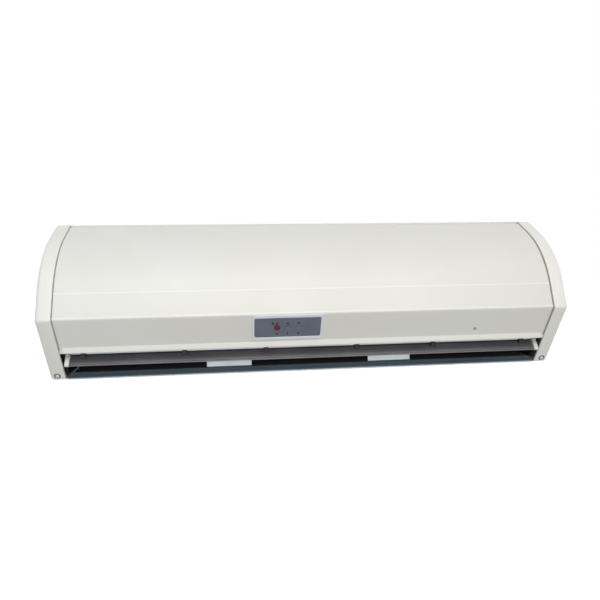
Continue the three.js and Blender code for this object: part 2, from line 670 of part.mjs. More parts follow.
function sidePlate(side) {
  const outline = casingPath(COVER_INSET + 3 * SHEET);
  const rear = -SHEET - FIT;
  const kept = outline.filter((p) => p.x < rear);
  const high = kept[kept.length - 1].y - TOP_FLANGE;
  const points = [p2(rear, kept[0].y), ...kept.filter((p) => p.y < high), p2(rear, high)];
  const plate = alongX(points, SIDE_X, SIDE_X + SHEET);
  const across = (radius, at, steps) => rod(radius, SIDE_X - SHEET, SIDE_X + 2 * SHEET, at.x, at.y, steps);
  const rodHole = across(ROD_RADIUS + FIT, PIVOT, 16);
  const service = across(IMPELLER_RADIUS / 2, p2(SHAFT_Y, SHAFT_Z), 24);
  const made = cut(plate, rodHole, service);
  return side < 0 ? made.mirror([1, 0, 0]) : made;
}

// ---------------------------------------------------------------- impellers, shafts and bearings
// One forward-curved blade: an arc from the inner to the outer rim, with an even thickness.
function bladeOutline() {
  const inner = IMPELLER_RADIUS - BLADE_DEPTH;
  const steps = 2;
  const line = [];
  for (let k = 0; k <= steps; k++) {
    const share = k / steps;
    const radius = inner + (BLADE_DEPTH - BLADE_THICK / 2) * share;
    const angle = rad(BLADE_SWEEP) * share * share;
    line.push(p2(radius * Math.cos(angle), radius * Math.sin(angle)));
  }
  return sheetAlong(line, BLADE_THICK);
}

function impeller(from, to, stubSide) {
  const inner = IMPELLER_RADIUS - BLADE_DEPTH - 1;
  const outline = bladeOutline();
  const disc = (x0, x1, bore) => turned([[bore, x0], [IMPELLER_RADIUS, x0], [IMPELLER_RADIUS, x1],
    [bore, x1], [bore, x0]], 0, 0, 20);
  const hub = (x0, x1) => turned([[SHAFT_RADIUS + FIT, x0], [HUB_RADIUS, x0], [HUB_RADIUS, x1],
    [SHAFT_RADIUS + FIT, x1], [SHAFT_RADIUS + FIT, x0]], 0, 0, 12);
  const blades = [];
  for (let k = 0; k < BLADE_COUNT; k++) {
    const turn = 2 * Math.PI * k / BLADE_COUNT;
    const spun = outline.map((p) => p.clone().rotateAround(p2(0, 0), turn));
    blades.push(alongX(spun, from + DISC_THICK / 2, to - DISC_THICK / 2));
  }
  const mid = (from + to) / 2;
  const bore = SHAFT_RADIUS + FIT;
  const wheel = join(disc(from, from + DISC_THICK, bore), disc(to - DISC_THICK, to, bore),
    disc(mid - RIB_RING / 2, mid + RIB_RING / 2, inner), hub(from, from + HUB_LENGTH),
    hub(to - HUB_LENGTH, to), ...blades);
  if (!stubSide) return wheel.translate([0, SHAFT_Y, SHAFT_Z]);
  const end = stubSide < 0 ? from : to;
  const inside = end - stubSide * HUB_LENGTH;
  const outside = end + stubSide * (END_GAP + SHEET + STUB_LENGTH);
  const stub = rod(SHAFT_RADIUS, Math.min(inside, outside), Math.max(inside, outside), 0, 0, 12);
  const plug = rod(SHAFT_RADIUS + 1, Math.min(inside, end), Math.max(inside, end), 0, 0, 12);
  return join(wheel, stub, plug).translate([0, SHAFT_Y, SHAFT_Z]);
}

function bearing(face, side) {
  const x0 = face + side * (FIT + HOLDER_WALL / 2);
  const x1 = x0 + side * BEARING_LENGTH;
  const a = Math.min(x0, x1);
  const b = Math.max(x0, x1);
  const bore = SHAFT_RADIUS + FIT;
  const profile = [[bore, a], [BEARING_OUTER, a], [BEARING_OUTER, b], [bore, b], [bore, a]];
  return turned(profile, SHAFT_Y, SHAFT_Z, 16);
}

// A cup that holds a bearing against a scroll cheek, with a square flange.
function bearingHolder(face, side) {
  const near = face + side * FIT;
  const lip = near + side * HOLDER_WALL / 2;
  const far = lip + side * (BEARING_LENGTH + FIT);
  const end = far + side * HOLDER_WALL;
  const span = (a, b) => [Math.min(a, b), Math.max(a, b)];
  const [f0, f1] = span(near, lip);
  const [c0, c1] = span(near, end);
  const [h0, h1] = span(near - side, far);
  const flange = box(f0, f1, SHAFT_Y - HOLDER_FLANGE, SHAFT_Y + HOLDER_FLANGE,
    SHAFT_Z - HOLDER_FLANGE, SHAFT_Z + HOLDER_FLANGE);
  const cup = rod(BEARING_OUTER + FIT + HOLDER_WALL, c0, c1, SHAFT_Y, SHAFT_Z, 16);
  const seat = rod(BEARING_OUTER + FIT, h0, h1, SHAFT_Y, SHAFT_Z, 16);
  const through = rod(SHAFT_RADIUS + HOLDER_WALL / 2, c0 - 1, c1 + 1, SHAFT_Y, SHAFT_Z, 12);
  return cut(join(flange, cup), seat, through);
}

// ---------------------------------------------------------------- motors
function motorHousing(x) {
  const r = MOTOR_RADIUS;
  const bell = 0.93 * r;
  const bore = SHAFT_RADIUS + FIT;
  const h = MOTOR_HALF;
  const half = [[bore, h + BOSS_LENGTH], [BOSS_RADIUS, h + BOSS_LENGTH], [BOSS_RADIUS, h], [0.62 * r, h - 2],
    [bell, h - 6], [bell, 0.4 * h], [r, 0.4 * h]];
  const other = half.map(([a, b]) => [a, -b]).reverse();
  const profile = [...half, ...other, half[0]].reverse();
  return turned(profile.map(([a, b]) => [a, b + x]), SHAFT_Y, SHAFT_Z, 18);
}

function rubberRing(x) {
  const bore = BOSS_RADIUS + FIT;
  const outer = RING_OUTER - FIT;
  const a = x - RING_LENGTH / 2;
  const b = x + RING_LENGTH / 2;
  return turned([[bore, a], [outer, a], [outer, b], [bore, b], [bore, a]], SHAFT_Y, SHAFT_Z, 16);
}

const RING_OFFSET = MOTOR_HALF + FIT + RING_LENGTH / 2;

// A bracket of one bent sheet: a base on the back plate and two arms whose eyes hold the rubber rings.
function motorBracket(x) {
  const foot = -SHEET - FIT;
  const base = box(x - RING_OFFSET - BRACKET_PLATE / 2, x + RING_OFFSET + BRACKET_PLATE / 2,
    foot - BRACKET_PLATE, foot, SHAFT_Z - BRACKET_HEIGHT / 2, SHAFT_Z + BRACKET_HEIGHT / 2);
  const eye = RING_OUTER + BRACKET_EYE;
  const arm = (at) => {
    const outline = [p2(foot, SHAFT_Z - BRACKET_HEIGHT / 2), p2(foot, SHAFT_Z + BRACKET_HEIGHT / 2)];
    for (let angle = 70; angle <= 290; angle += 22) outline.push(roundShaft(eye, angle));
    const plate = alongX(outline, at - BRACKET_PLATE / 2, at + BRACKET_PLATE / 2);
    return cut(plate, rod(RING_OUTER, at - BRACKET_PLATE, at + BRACKET_PLATE, SHAFT_Y, SHAFT_Z, 16));
  };
  return join(base, arm(x - RING_OFFSET), arm(x + RING_OFFSET));
}

// ---------------------------------------------------------------- electrics
function capacitor(x) {
  const [length, depth, height] = CAPACITOR;
  const [width, thick, tall] = LUG;
  const y = -SHEET - FIT;
  const z = SHAFT_Z + MOTOR_RADIUS + CAPACITOR_GAP;
  const body = box(x - length / 2, x + length / 2, y - depth, y, z, z + height);
  const lugs = [-1, 1].map((k) => box(x + k * 1.5 * width - width / 2, x + k * 1.5 * width + width / 2,
    y - depth / 2 - thick / 2, y - depth / 2 + thick / 2, z + height - FIT, z + height + tall));
  return join(body, ...lugs);
}

function terminalBlock(x) {
  const [length, depth, height] = TERMINAL;
  const y = -SHEET - FIT;
  const top = SHAFT_Z - MOTOR_RADIUS - TERMINAL_GAP;
  const body = box(x - length / 2, x + length / 2, y - depth, y, top - height, top);
  const wells = [];
  for (let k = -2; k <= 2; k++) {
    wells.push(solid(new THREE.CylinderGeometry(TERMINAL_WELL, TERMINAL_WELL, depth, 8)
      .translate(x + TERMINAL_PITCH * k, y - depth, top - height / 2)));
  }
  return cut(body, ...wells);
}

function controlBoard() {
  const back = -SHEET - BOARD_SETBACK - BOARD_THICK;
  const board = panelPlate(PANEL_LENGTH - BOARD_MARGIN, PANEL_HEIGHT - BOARD_MARGIN, 1,
    back, back + BOARD_THICK);
  const posts = [-1, 1].map((k) =>
    panelRound(POST_RADIUS, back, -SHEET - FIT, k * (PANEL_LENGTH / 2 - POST_INSET), POST_UP, 10));
  const chips = CHIPS.map(([length, width, tall, x, y]) => solid(new THREE.BoxGeometry(length, width, tall)
    .translate(x, y, back - tall / 2 + FIT).applyMatrix4(PANEL)));
  return join(board, ...posts, ...chips);
}

// ---------------------------------------------------------------- control panel
const COLUMNS = [0, 1, 2].map((k) => COLUMN_FIRST + k * COLUMN_PITCH);

function controlFrame() {
  const outer = panelPlate(PANEL_LENGTH + 2 * FRAME_MARGIN, PANEL_HEIGHT + 2 * FRAME_MARGIN_HIGH,
    PLATE_CORNER, FIT, FRAME_PROUD);
  const inner = panelPlate(PANEL_LENGTH + 2 * FIT, PANEL_HEIGHT + 2 * FIT, PLATE_CORNER, 0, 2 * FRAME_PROUD);
  return cut(outer, inner);
}

function controlPlate() {
  const plate = panelPlate(PANEL_LENGTH, PANEL_HEIGHT, PLATE_CORNER, FIT, FIT + PLATE_THICK);
  const through = (radius, x, y, steps) => panelRound(radius + FIT, 0, 2 * PLATE_THICK, x, y, steps);
  const holes = [through(RECEIVER_RADIUS, RECEIVER_X, LAMP_ROW, 12)];
  COLUMNS.forEach((x, k) => {
    holes.push(through(k ? KEY_RADIUS : POWER_RADIUS, x, 0, 16));
    holes.push(through(LAMP_RADIUS, x, LAMP_ROW, 8));
  });
  return cut(plate, ...holes);
}

function panelKey(column, radius) {
  const x = COLUMNS[column];
  const top = FIT + PLATE_THICK + KEY_PROUD;
  const cap = panelRound(radius, -2 * SHEET, top, x, 0);
  const stem = panelRound(radius / 2, -SHEET - BOARD_SETBACK + FIT + KEY_TRAVEL, -SHEET, x, 0, 12);
  return join(cap, stem);
}

// ---------------------------------------------------------------- vane
const VANE_DIR = p2(-Math.cos(rad(VANE_LEAN)), -Math.sin(rad(VANE_LEAN)));
const VANE_UP = p2(VANE_DIR.y, -VANE_DIR.x);

function vanePoint(along, up) {
  return PIVOT.clone().addScaledVector(VANE_DIR, along).addScaledVector(VANE_UP, up);
}

const ARM_OUTER = SIDE_X - ARM_GAP;
const ARM_INNER = ARM_OUTER - ARM_THICK;
const BLADE_X = ARM_INNER - FIT;

// The blade is a shallow arch: its height falls with the square of the distance from the middle, and
// its front edge is turned down to a hem.
function vaneBlade() {
  const half = VANE_CHORD / 2;
  const arch = (share) => -VANE_BELOW + VANE_ARCH * (0.6 - share * share);
  const path = [-1, -0.5, 0, 0.5, 0.9].map((share) => vanePoint(half * share, arch(share)));
  path.push(vanePoint(half, -VANE_BELOW - VANE_HEM));
  return alongX(sheetAlong(path, VANE_THICK), -BLADE_X, BLADE_X);
}

// Points round the rod, from the vane's front to its back.
function rodBoss(steps) {
  const points = [];
  for (let k = 0; k <= steps; k++) {
    const turn = Math.PI * (k + 0.5) / (steps + 1);
    const radius = ROD_RADIUS + ROD_BOSS;
    points.push(vanePoint(radius * Math.cos(turn), radius * Math.sin(turn)));
  }
  return points;
}

function vaneArm(side) {
  const half = VANE_CHORD / 2;
  const outline = [
    vanePoint(half, -VANE_BELOW - ARM_UNDER),
    vanePoint(half + ARM_TIP, -VANE_BELOW - ARM_UNDER / 2),
    vanePoint(half + ARM_TIP, -VANE_BELOW + ARM_OVER / 2),
    vanePoint(half, -VANE_BELOW + ARM_OVER),
    ...rodBoss(5),
    vanePoint(-half, -VANE_BELOW + ARM_OVER),
    vanePoint(-half - ARM_TIP, -VANE_BELOW),
    vanePoint(-half, -VANE_BELOW - ARM_UNDER),
  ];
  const bored = rod(ROD_RADIUS + FIT, ARM_INNER - 1, ARM_OUTER + 1, PIVOT.x, PIVOT.y, 16);
  const made = cut(alongX(outline, ARM_INNER, ARM_OUTER), bored);
  return side < 0 ? made.mirror([1, 0, 0]) : made;
}

// A clip stands on the blade, a gap above it, and holds the rod.
function vaneClip(x) {
  const top = -VANE_BELOW + VANE_ARCH * 0.6 + FIT;
  const edge = top - VANE_ARCH * (2 * CLIP_HALF / VANE_CHORD) ** 2;
  const outline = [vanePoint(CLIP_HALF, edge), ...rodBoss(4), vanePoint(-CLIP_HALF, edge), vanePoint(0, top)];
  const bored = rod(ROD_RADIUS + FIT, x - CLIP_WIDTH, x + CLIP_WIDTH, PIVOT.x, PIVOT.y, 16);
  return cut(alongX(outline, x - CLIP_WIDTH / 2, x + CLIP_WIDTH / 2), bored);
}

// ---------------------------------------------------------------- assembly
const TONGUE_X = SIDE_X - FIT;
const FANS = {
  left: [-MOUTH_OUTER, -BAY_OUTER],
  centre: [-BAY_INNER, BAY_INNER],
  right: [BAY_OUTER, MOUTH_OUTER],
};

add('back_plate', backPlate(), GALVANISED);
add('front_cover', frontCover(), CREAM);
add('left_end_cap', endCap(-1), CAP_CREAM);
add('right_end_cap', endCap(1), CAP_CREAM);
add('intake_grille', intakeGrille(), CREAM);
add('outlet_tongue', outletTongue(TONGUE_X), BLACK_STEEL);
add('outlet_sill', outletSill(TONGUE_X), DARK_STEEL);
add('side_plate_left', sidePlate(-1), BLACK_STEEL);
add('side_plate_right', sidePlate(1), BLACK_STEEL);
for (const [place, [from, to]] of Object.entries(FANS)) {
  add('scroll_' + place, scroll(from, to), BLACK_STEEL);
}
add('impeller_left', impeller(FANS.left[0] + END_GAP, FANS.left[1] - END_GAP, -1), BLACK_PLASTIC);
add('impeller_centre', impeller(FANS.centre[0] + END_GAP, FANS.centre[1] - END_GAP, 1), BLACK_PLASTIC);
add('impeller_right', impeller(FANS.right[0] + END_GAP, FANS.right[1] - END_GAP, 1), BLACK_PLASTIC);
const bearingFaces = {
  left: [FANS.left[0] - SHEET, -1],
  centre: [FANS.centre[1] + SHEET, 1],
  right: [FANS.right[1] + SHEET, 1],
};
for (const [place, [face, side]] of Object.entries(bearingFaces)) {
  add('bearing_holder_' + place, bearingHolder(face, side), RUBBER);
  add('bearing_' + place, bearing(face, side), BRIGHT_STEEL);
}
const engage = END_GAP + SHAFT_ENGAGE;
add('motor_shaft_left',
  rod(SHAFT_RADIUS, -BAY_OUTER - engage, -BAY_INNER + engage, SHAFT_Y, SHAFT_Z), BRIGHT_STEEL);
add('motor_shaft_right',
  rod(SHAFT_RADIUS, MOTOR_X - MOTOR_HALF, BAY_OUTER + engage, SHAFT_Y, SHAFT_Z), BRIGHT_STEEL);
for (const [place, side] of [['left', -1], ['right', 1]]) {
  const x = side * MOTOR_X;
  add('motor_housing_' + place, motorHousing(x), MOTOR_ALUMINIUM);
  add('motor_bracket_' + place, motorBracket(x), GALVANISED);
  add('motor_ring_inner_' + place, rubberRing(x - side * RING_OFFSET), RUBBER);
  add('motor_ring_outer_' + place, rubberRing(x + side * RING_OFFSET), RUBBER);
  add('bay_plate_' + place, bayPlate(side), BRIGHT_STEEL);
  add('capacitor_' + place, capacitor(x), CAPACITOR_WHITE);
}
add('terminal_block', terminalBlock(MOTOR_X), WHITE_PLASTIC);
add('cable_grommet', cableGrommet(), RUBBER);

add('control_board', controlBoard(), BOARD_GREEN);
add('control_frame', controlFrame(), FRAME_WHITE);
add('control_plate', controlPlate(), PLATE_GREY);
add('receiver_window', panelRound(RECEIVER_RADIUS, -2 * SHEET, PLATE_THICK + 2 * FIT, RECEIVER_X, LAMP_ROW),
  BLACK_PLASTIC);
add('button_power', panelKey(0, POWER_RADIUS), RED);
add('button_low', panelKey(1, KEY_RADIUS), KEY_GREY);
add('button_high', panelKey(2, KEY_RADIUS), KEY_GREY);
COLUMNS.forEach((x, k) => {
  add('indicator_' + (k + 1),
    panelRound(LAMP_RADIUS, -SHEET - BOARD_SETBACK + FIT, PLATE_THICK + 2 * FIT, x, LAMP_ROW, 8), LAMP);
});

for (const [place, side] of [['left', -1], ['right', 1]]) {
  const screw = add('cap_screw_' + place, capScrew(), BRIGHT_STEEL);
  screw.applyMatrix4(screwPlace(side));
}
const fasciaScrew = add('fascia_screw', capScrew(), BRIGHT_STEEL);
fasciaScrew.applyMatrix4(fasciaScrewPlace());

add('vane_blade', vaneBlade(), VANE_GREY);
const rodReach = SIDE_X + SHEET + ROD_END;
add('vane_rod', rod(ROD_RADIUS, -rodReach, rodReach, PIVOT.x, PIVOT.y, 16), BRIGHT_STEEL);
for (const [place, side] of [['left', -1], ['right', 1]]) {
  add('vane_arm_' + place, vaneArm(side), WHITE_PLASTIC);
  [CLIP_INNER, CLIP_MIDDLE, BLADE_X - CLIP_MARGIN].forEach((x, k) =>
    add('vane_clip_' + place + '_' + (k + 1), vaneClip(side * x), BLACK_PLASTIC));
}

export default root;
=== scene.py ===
"""Looks of the wall air curtain: smooth skins over the CAD frame, node materials, studio and camera.
Shapes are worked out in millimetres in the row frame and stored in metres. X runs along the casing,
-Y is the front and +Z is up. A point in a cross-section is (y, z)."""

import json
import math

import bmesh
import bpy
import numpy as np
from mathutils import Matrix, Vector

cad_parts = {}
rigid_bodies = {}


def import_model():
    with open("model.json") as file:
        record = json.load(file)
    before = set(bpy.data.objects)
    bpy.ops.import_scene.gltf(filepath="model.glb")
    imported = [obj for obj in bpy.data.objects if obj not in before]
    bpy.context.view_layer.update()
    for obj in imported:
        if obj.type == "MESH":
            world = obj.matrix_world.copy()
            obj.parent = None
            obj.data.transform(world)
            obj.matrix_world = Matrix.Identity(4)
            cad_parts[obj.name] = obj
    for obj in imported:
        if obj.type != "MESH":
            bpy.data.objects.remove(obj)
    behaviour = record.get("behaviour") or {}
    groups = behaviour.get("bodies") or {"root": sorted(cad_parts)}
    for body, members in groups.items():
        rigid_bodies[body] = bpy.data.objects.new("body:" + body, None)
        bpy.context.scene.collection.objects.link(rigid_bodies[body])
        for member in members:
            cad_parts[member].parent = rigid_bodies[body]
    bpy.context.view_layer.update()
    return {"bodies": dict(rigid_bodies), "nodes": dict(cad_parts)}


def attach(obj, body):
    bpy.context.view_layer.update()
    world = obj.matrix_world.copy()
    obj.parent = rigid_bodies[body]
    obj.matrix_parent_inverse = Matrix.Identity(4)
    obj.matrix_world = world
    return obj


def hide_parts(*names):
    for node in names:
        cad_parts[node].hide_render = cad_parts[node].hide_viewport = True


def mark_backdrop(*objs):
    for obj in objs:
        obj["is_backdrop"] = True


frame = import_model()
MM = 0.001

# ---------------------------------------------------------------- dimensions of the casing
HALF = 450.0
TOP_Z = 130.5
TOP_FLAT = 51.0
CREASE = np.array([-195.0, -18.1])
BOTTOM_CORNER = np.array([-134.8, -130.5])
FACET_LENGTH = 46.0
FACET_LEAN = math.radians(23.1)
TOP_LEAN = math.radians(65.0)
RIM_X = 424.0
COVER_INSET = 4.0
TOP_INSET = 2.2  # the cover comes closer to the caps' surface towards its top edge
INSET_FROM = 60.0  # height above which it does
COVER_END = 423.7  # end of the cover's seen width
COVER_TUCKED = 427.0  # end of the cover under the caps' rims
SHEET = 1.5
FASCIA_LENGTH = 57.6
LIP_STEP = np.array([-2.3, -11.5])  # fascia's end to the lip
HEM_STEP = np.array([7.0, 2.3])  # lip to the end of the hem
FLANGE_STEP = np.array([0.0, -10.0])  # top edge to the end of its flange
ROD_STEP = np.array([23.8, -3.5])  # lip to the vane's rod
CORNER_RADIUS = 4.0
CREASE_RADIUS = 6.0
LEAST_RADIUS = 0.6
CAP_WALL = 3.5
CAP_EDGE = 7.0
RIM_EDGE = 2.0
SHAFT = np.array([-95.0, 4.0])
PANEL_X = -46.0
PANEL_UP = 1.7  # the panel's middle above the middle of the fascia

DOWN_FASCIA = (BOTTOM_CORNER - CREASE) / np.linalg.norm(BOTTOM_CORNER - CREASE)
OUT_FASCIA = np.array([DOWN_FASCIA[1], -DOWN_FASCIA[0]])


# ---------------------------------------------------------------- paths
def offset_path(path, distance):
    """Each point moved along the mitre of its two neighbouring segments, so that every segment ends
    up the distance to its left."""
    step = np.diff(path, axis=0)
    step /= np.linalg.norm(step, axis=1)[:, None]
    normal = np.stack([-step[:, 1], step[:, 0]], 1)
    before = np.vstack([normal[:1], normal])
    after = np.vstack([normal, normal[-1:]])
    mitre = before + after
    mitre /= np.linalg.norm(mitre, axis=1)[:, None]
    return path + mitre * (distance / (mitre * after).sum(1))[:, None]


def rounded_path(corners, radii, steps=10):
    """The path with each inner corner exchanged for an arc that touches both of its segments: the arc's
    centre lies on the bisector at radius / sin(half angle)."""
    corners = np.asarray(corners, float)
    out = [corners[:1]]
    for p, q, s, r in zip(corners[1:-1], corners[:-2], corners[2:], radii[1:-1]):
        back = (q - p) / np.linalg.norm(q - p)
        ahead = (s - p) / np.linalg.norm(s - p)
        if not r or back @ ahead < -1 + 1e-9:
            out.append(p[None])
            continue
        half = math.acos(np.clip(back @ ahead, -1, 1)) / 2
        centre = p + (back + ahead) / np.linalg.norm(back + ahead) * r / math.sin(half)
        a = p + back * r / math.tan(half) - centre
        b = p + ahead * r / math.tan(half) - centre
        turn = math.atan2(a[0] * b[1] - a[1] * b[0], a @ b)
        t = turn * np.linspace(0, 1, steps + 1)
        out.append(centre + np.stack([a[0] * np.cos(t) - a[1] * np.sin(t),
                                      a[0] * np.sin(t) + a[1] * np.cos(t)], 1))
    out.append(corners[-1:])
    return np.vstack(out)


def crown(steps=48):
    """Crease to top edge: a straight facet, an arc whose tangent leans from the facet's lean to the top
    facet's, and the straight top facet. The arc's radius is the one that brings the top facet to the
    top edge, a linear equation in the radius."""
    start = CREASE + FACET_LENGTH * np.array([math.sin(FACET_LEAN), math.cos(FACET_LEAN)])
    steep = math.tan(TOP_LEAN)
    across = math.cos(FACET_LEAN) - math.cos(TOP_LEAN)
    up = math.sin(TOP_LEAN) - math.sin(FACET_LEAN)
    radius = (start[0] + TOP_FLAT + (TOP_Z - start[1]) * steep) / (up * steep - across)
    lean = np.linspace(FACET_LEAN, TOP_LEAN, steps + 1)
    arc = start + radius * np.stack([math.cos(FACET_LEAN) - np.cos(lean),
                                     np.sin(lean) - math.sin(FACET_LEAN)], 1)
    return np.vstack([CREASE, arc, [-TOP_FLAT, TOP_Z]])


CROWN = crown()
CORE = np.vstack([BOTTOM_CORNER, CROWN])
COVER = offset_path(CORE, -COVER_INSET)[1:]
REACH = np.clip((CROWN[:, 1] - INSET_FROM) / (TOP_Z - INSET_FROM), 0, 1)[:, None]
COVER += (offset_path(CORE, -TOP_INSET)[1:] - COVER) * REACH * REACH * (3 - 2 * REACH)
FASCIA_END = COVER[0] + DOWN_FASCIA * FASCIA_LENGTH
LIP = FASCIA_END + LIP_STEP
PIVOT = LIP + ROD_STEP


def casing_outline(inset):
    """The casing's outline moved inwards, as an open path from the wall at the bottom to the wall at
    the top, with rounded corners; the number of points doesn't depend on the inset."""
    sharp = np.vstack([[0, BOTTOM_CORNER[1]], BOTTOM_CORNER, CROWN, [0, TOP_Z]])
    radii = np.zeros(len(sharp))
    radii[[1, -2]] = max(CORNER_RADIUS - inset, LEAST_RADIUS)
    radii[2] = max(CREASE_RADIUS - inset, LEAST_RADIUS)
    return rounded_path(offset_path(sharp, -inset), radii)


# ---------------------------------------------------------------- meshes
SAME_POINT = 2e-6  # metres


def grid_faces(rows, columns, wrap=False):
    """Quads between neighbouring points of a grid kept row by row; wrapped, the last column meets the
    first."""
    r = np.arange(rows - 1)[:, None] * columns
    c = np.arange(columns if wrap else columns - 1)[None, :]
    n = (c + 1) % columns
    return np.stack([r + c, r + n, r + columns + n, r + columns + c], -1).reshape(-1, 4)


def build(name, points, quads, rings=(), angle=32):
    """A mesh object from points in millimetres, quads and larger faces. Its normals are made to point
    outwards, and edges sharper than the angle stay sharp."""
    mesh = bpy.data.meshes.new(name)
    faces = [tuple(q) for q in np.asarray(quads).tolist()] + [tuple(int(i) for i in r) for r in rings]
    mesh.from_pydata((np.asarray(points, float).reshape(-1, 3) * MM).tolist(), [], faces)
    return settle(name, mesh, angle)


def settle(name, mesh, angle=32, turn=True):
    """Merges doubles, turns the faces outwards and shades the mesh smooth up to the angle."""
    work = bmesh.new()
    work.from_mesh(mesh)
    bmesh.ops.remove_doubles(work, verts=work.verts, dist=SAME_POINT)
    if turn:
        bmesh.ops.recalc_face_normals(work, faces=work.faces)
    work.to_mesh(mesh)
    work.free()
    mesh.polygons.foreach_set("use_smooth", np.ones(len(mesh.polygons), bool))
    mesh.set_sharp_from_angle(angle=math.radians(angle))
    obj = bpy.data.objects.new(name, mesh)
    bpy.context.scene.collection.objects.link(obj)
    return obj


def at_x(section, xs):
    """The cross-section repeated at each x: a grid of rows along X and columns round the section."""
    section, xs = np.asarray(section, float), np.asarray(xs, float)
    grid = np.empty((len(xs), len(section), 3))
    grid[..., 0] = xs[:, None]
    grid[..., 1:] = section
    return grid


def joined_rings(name, grid, angle=32):
    """Closed rings joined one to the next, with a face over the first and the last."""
    rows, columns = grid.shape[:2]
    ends = [np.arange(columns)[::-1], (rows - 1) * columns + np.arange(columns)]
    return build(name, grid, grid_faces(rows, columns, True), ends, angle)


def folded(path, thickness):
    """The closed cross-section of a sheet that follows the path."""
    return np.vstack([path, offset_path(path, thickness)[::-1]])


def turned_grid(profile, steps):
    """Profile points (radius, height) turned about the height axis: rows along the profile, columns
    at equal angles."""
    profile = np.asarray(profile, float)
    t = 2 * np.pi * np.arange(steps) / steps
    grid = np.empty((len(profile), steps, 3))
    grid[..., 0] = profile[:, :1] * np.cos(t)
    grid[..., 1] = profile[:, :1] * np.sin(t)
    grid[..., 2] = profile[:, 1:]
    return grid


def placed(grid, origin, x_dir, y_dir, z_dir):
    """Local coordinates carried into the row frame: origin + x x_dir + y y_dir + z z_dir."""
    return np.asarray(origin, float) + np.asarray(grid) @ np.array([x_dir, y_dir, z_dir], float)


def on_shaft(grid, at=SHAFT):
    """A turned grid laid along X on the line through the point of the cross-section."""
    return placed(grid, [0, *at], [0, 1, 0], [0, 0, 1], [1, 0, 0])


def turned(name, profile, place, steps=64, angle=32):
    """A turned body; the profile starts and ends on the axis or closes on itself."""
    grid = turned_grid(profile, steps)
    return build(name, place(grid), grid_faces(len(grid), steps, True), angle=angle)


def soft_steps(points, radius, steps=4):
    """A turning profile with its inner corners rounded."""
    points = np.asarray(points, float)
    reach = [np.linalg.norm(d) for d in np.diff(points, axis=0)]
    radii = [0] + [min(radius, 0.45 * a, 0.45 * b) for a, b in zip(reach, reach[1:])] + [0]
    return rounded_path(points, radii, steps)


def on_fascia(x, point):
    """A place function at a (y, z) point of the fascia: local z points out of it, y up along it."""
    return lambda grid: placed(grid, [x, *point], [1, 0, 0], [0, *-DOWN_FASCIA], [0, *OUT_FASCIA])


def in_panel(x, up=0.0):
    """A place function for the control panel, x along it and up from its middle."""
    return on_fascia(PANEL_X + x, COVER[0] + DOWN_FASCIA * (FASCIA_LENGTH / 2 - PANEL_UP - up))


def rounded_rectangle(width, height, radius, steps=8):
    """The outline of a rectangle with quarter-circle corners, counter-clockwise."""
    t = np.linspace(0, np.pi / 2, steps + 1)
    signs = np.array([[1, 1], [-1, 1], [-1, -1], [1, -1]])
    turns = np.arange(4)[:, None] * np.pi / 2 + t
    centre = signs * [width / 2 - radius, height / 2 - radius]
    arcs = centre[:, None] + radius * np.stack([np.cos(turns), np.sin(turns)], -1)
    return arcs.reshape(-1, 2)


def plate_rings(width, height, radius, rings):
    """Rings of a rounded rectangle, one for each (inset, height) pair."""
    flat = np.array([rounded_rectangle(width - 2 * i, height - 2 * i, max(radius - i, 0.3))
                     for i, _ in rings])
    heights = np.broadcast_to(np.array([h for _, h in rings])[:, None, None], (*flat.shape[:2], 1))
    return np.concatenate([flat, heights], -1)


def dressed(name, node, bevel, segments=2, angle=40):
    """A merged copy of a CAD node whose edges are rounded by a bevel."""
    mesh = frame["nodes"][node].data.copy()
    mesh.materials.clear()
    work = bmesh.new()
    work.from_mesh(mesh)
    bmesh.ops.remove_doubles(work, verts=work.verts, dist=SAME_POINT)
    bmesh.ops.dissolve_limit(work, angle_limit=math.radians(1), verts=work.verts, edges=work.edges)
    work.to_mesh(mesh)
    work.free()
    obj = settle(name, mesh, angle, turn=False)
    edge = obj.modifiers.new("edge", "BEVEL")
    edge.width = bevel * MM
    edge.segments = segments
    edge.limit_method = "ANGLE"
    edge.angle_limit = math.radians(angle)
    edge.harden_normals = True
    return obj


# ---------------------------------------------------------------- shared effects
def new_group(name, outputs):
    """An empty shader group with a Scale input and the named value outputs."""
    group = bpy.data.node_groups.new(name, "ShaderNodeTree")
    group.interface.new_socket(name="Scale", in_out="INPUT", socket_type="NodeSocketFloat")
    for out in outputs:
        group.interface.new_socket(name=out, in_out="OUTPUT", socket_type="NodeSocketFloat")
    source = group.nodes.new("NodeGroupInput")
    sink = group.nodes.new("NodeGroupOutput")
    where = group.nodes.new("ShaderNodeTexCoord")
    return group, source, sink, where


def stretched(group, where, scale):
    """Object coordinates stretched by the scale."""
    node = group.nodes.new("ShaderNodeMapping")
    node.inputs["Scale"].default_value = scale
    group.links.new(where.outputs["Object"], node.inputs["Vector"])
    return node.outputs["Vector"]


def times(group, value, factor):
    """The value times another value or a constant."""
    node = group.nodes.new("ShaderNodeMath")
    node.operation = "MULTIPLY"
    group.links.new(value, node.inputs[0])
    if isinstance(factor, (int, float)):
        node.inputs[1].default_value = factor
    else:
        group.links.new(factor, node.inputs[1])
    return node.outputs[0]


def noise(group, vector, scale, detail=3.0, rough=0.5):
    """A noise value of the vector at the scale."""
    node = group.nodes.new("ShaderNodeTexNoise")
    node.inputs["Detail"].default_value = detail
    node.inputs["Roughness"].default_value = rough
    group.links.new(vector, node.inputs["Vector"])
    group.links.new(scale, node.inputs["Scale"])
    return node.outputs["Fac"]


def ramp(group, value, low, high, to_low=0.0, to_high=1.0):
    """The value carried from low..high to another span and held there."""
    node = group.nodes.new("ShaderNodeMapRange")
    for k, v in enumerate((low, high, to_low, to_high), 1):
        node.inputs[k].default_value = v
    group.links.new(value, node.inputs[0])
    return node.outputs[0]


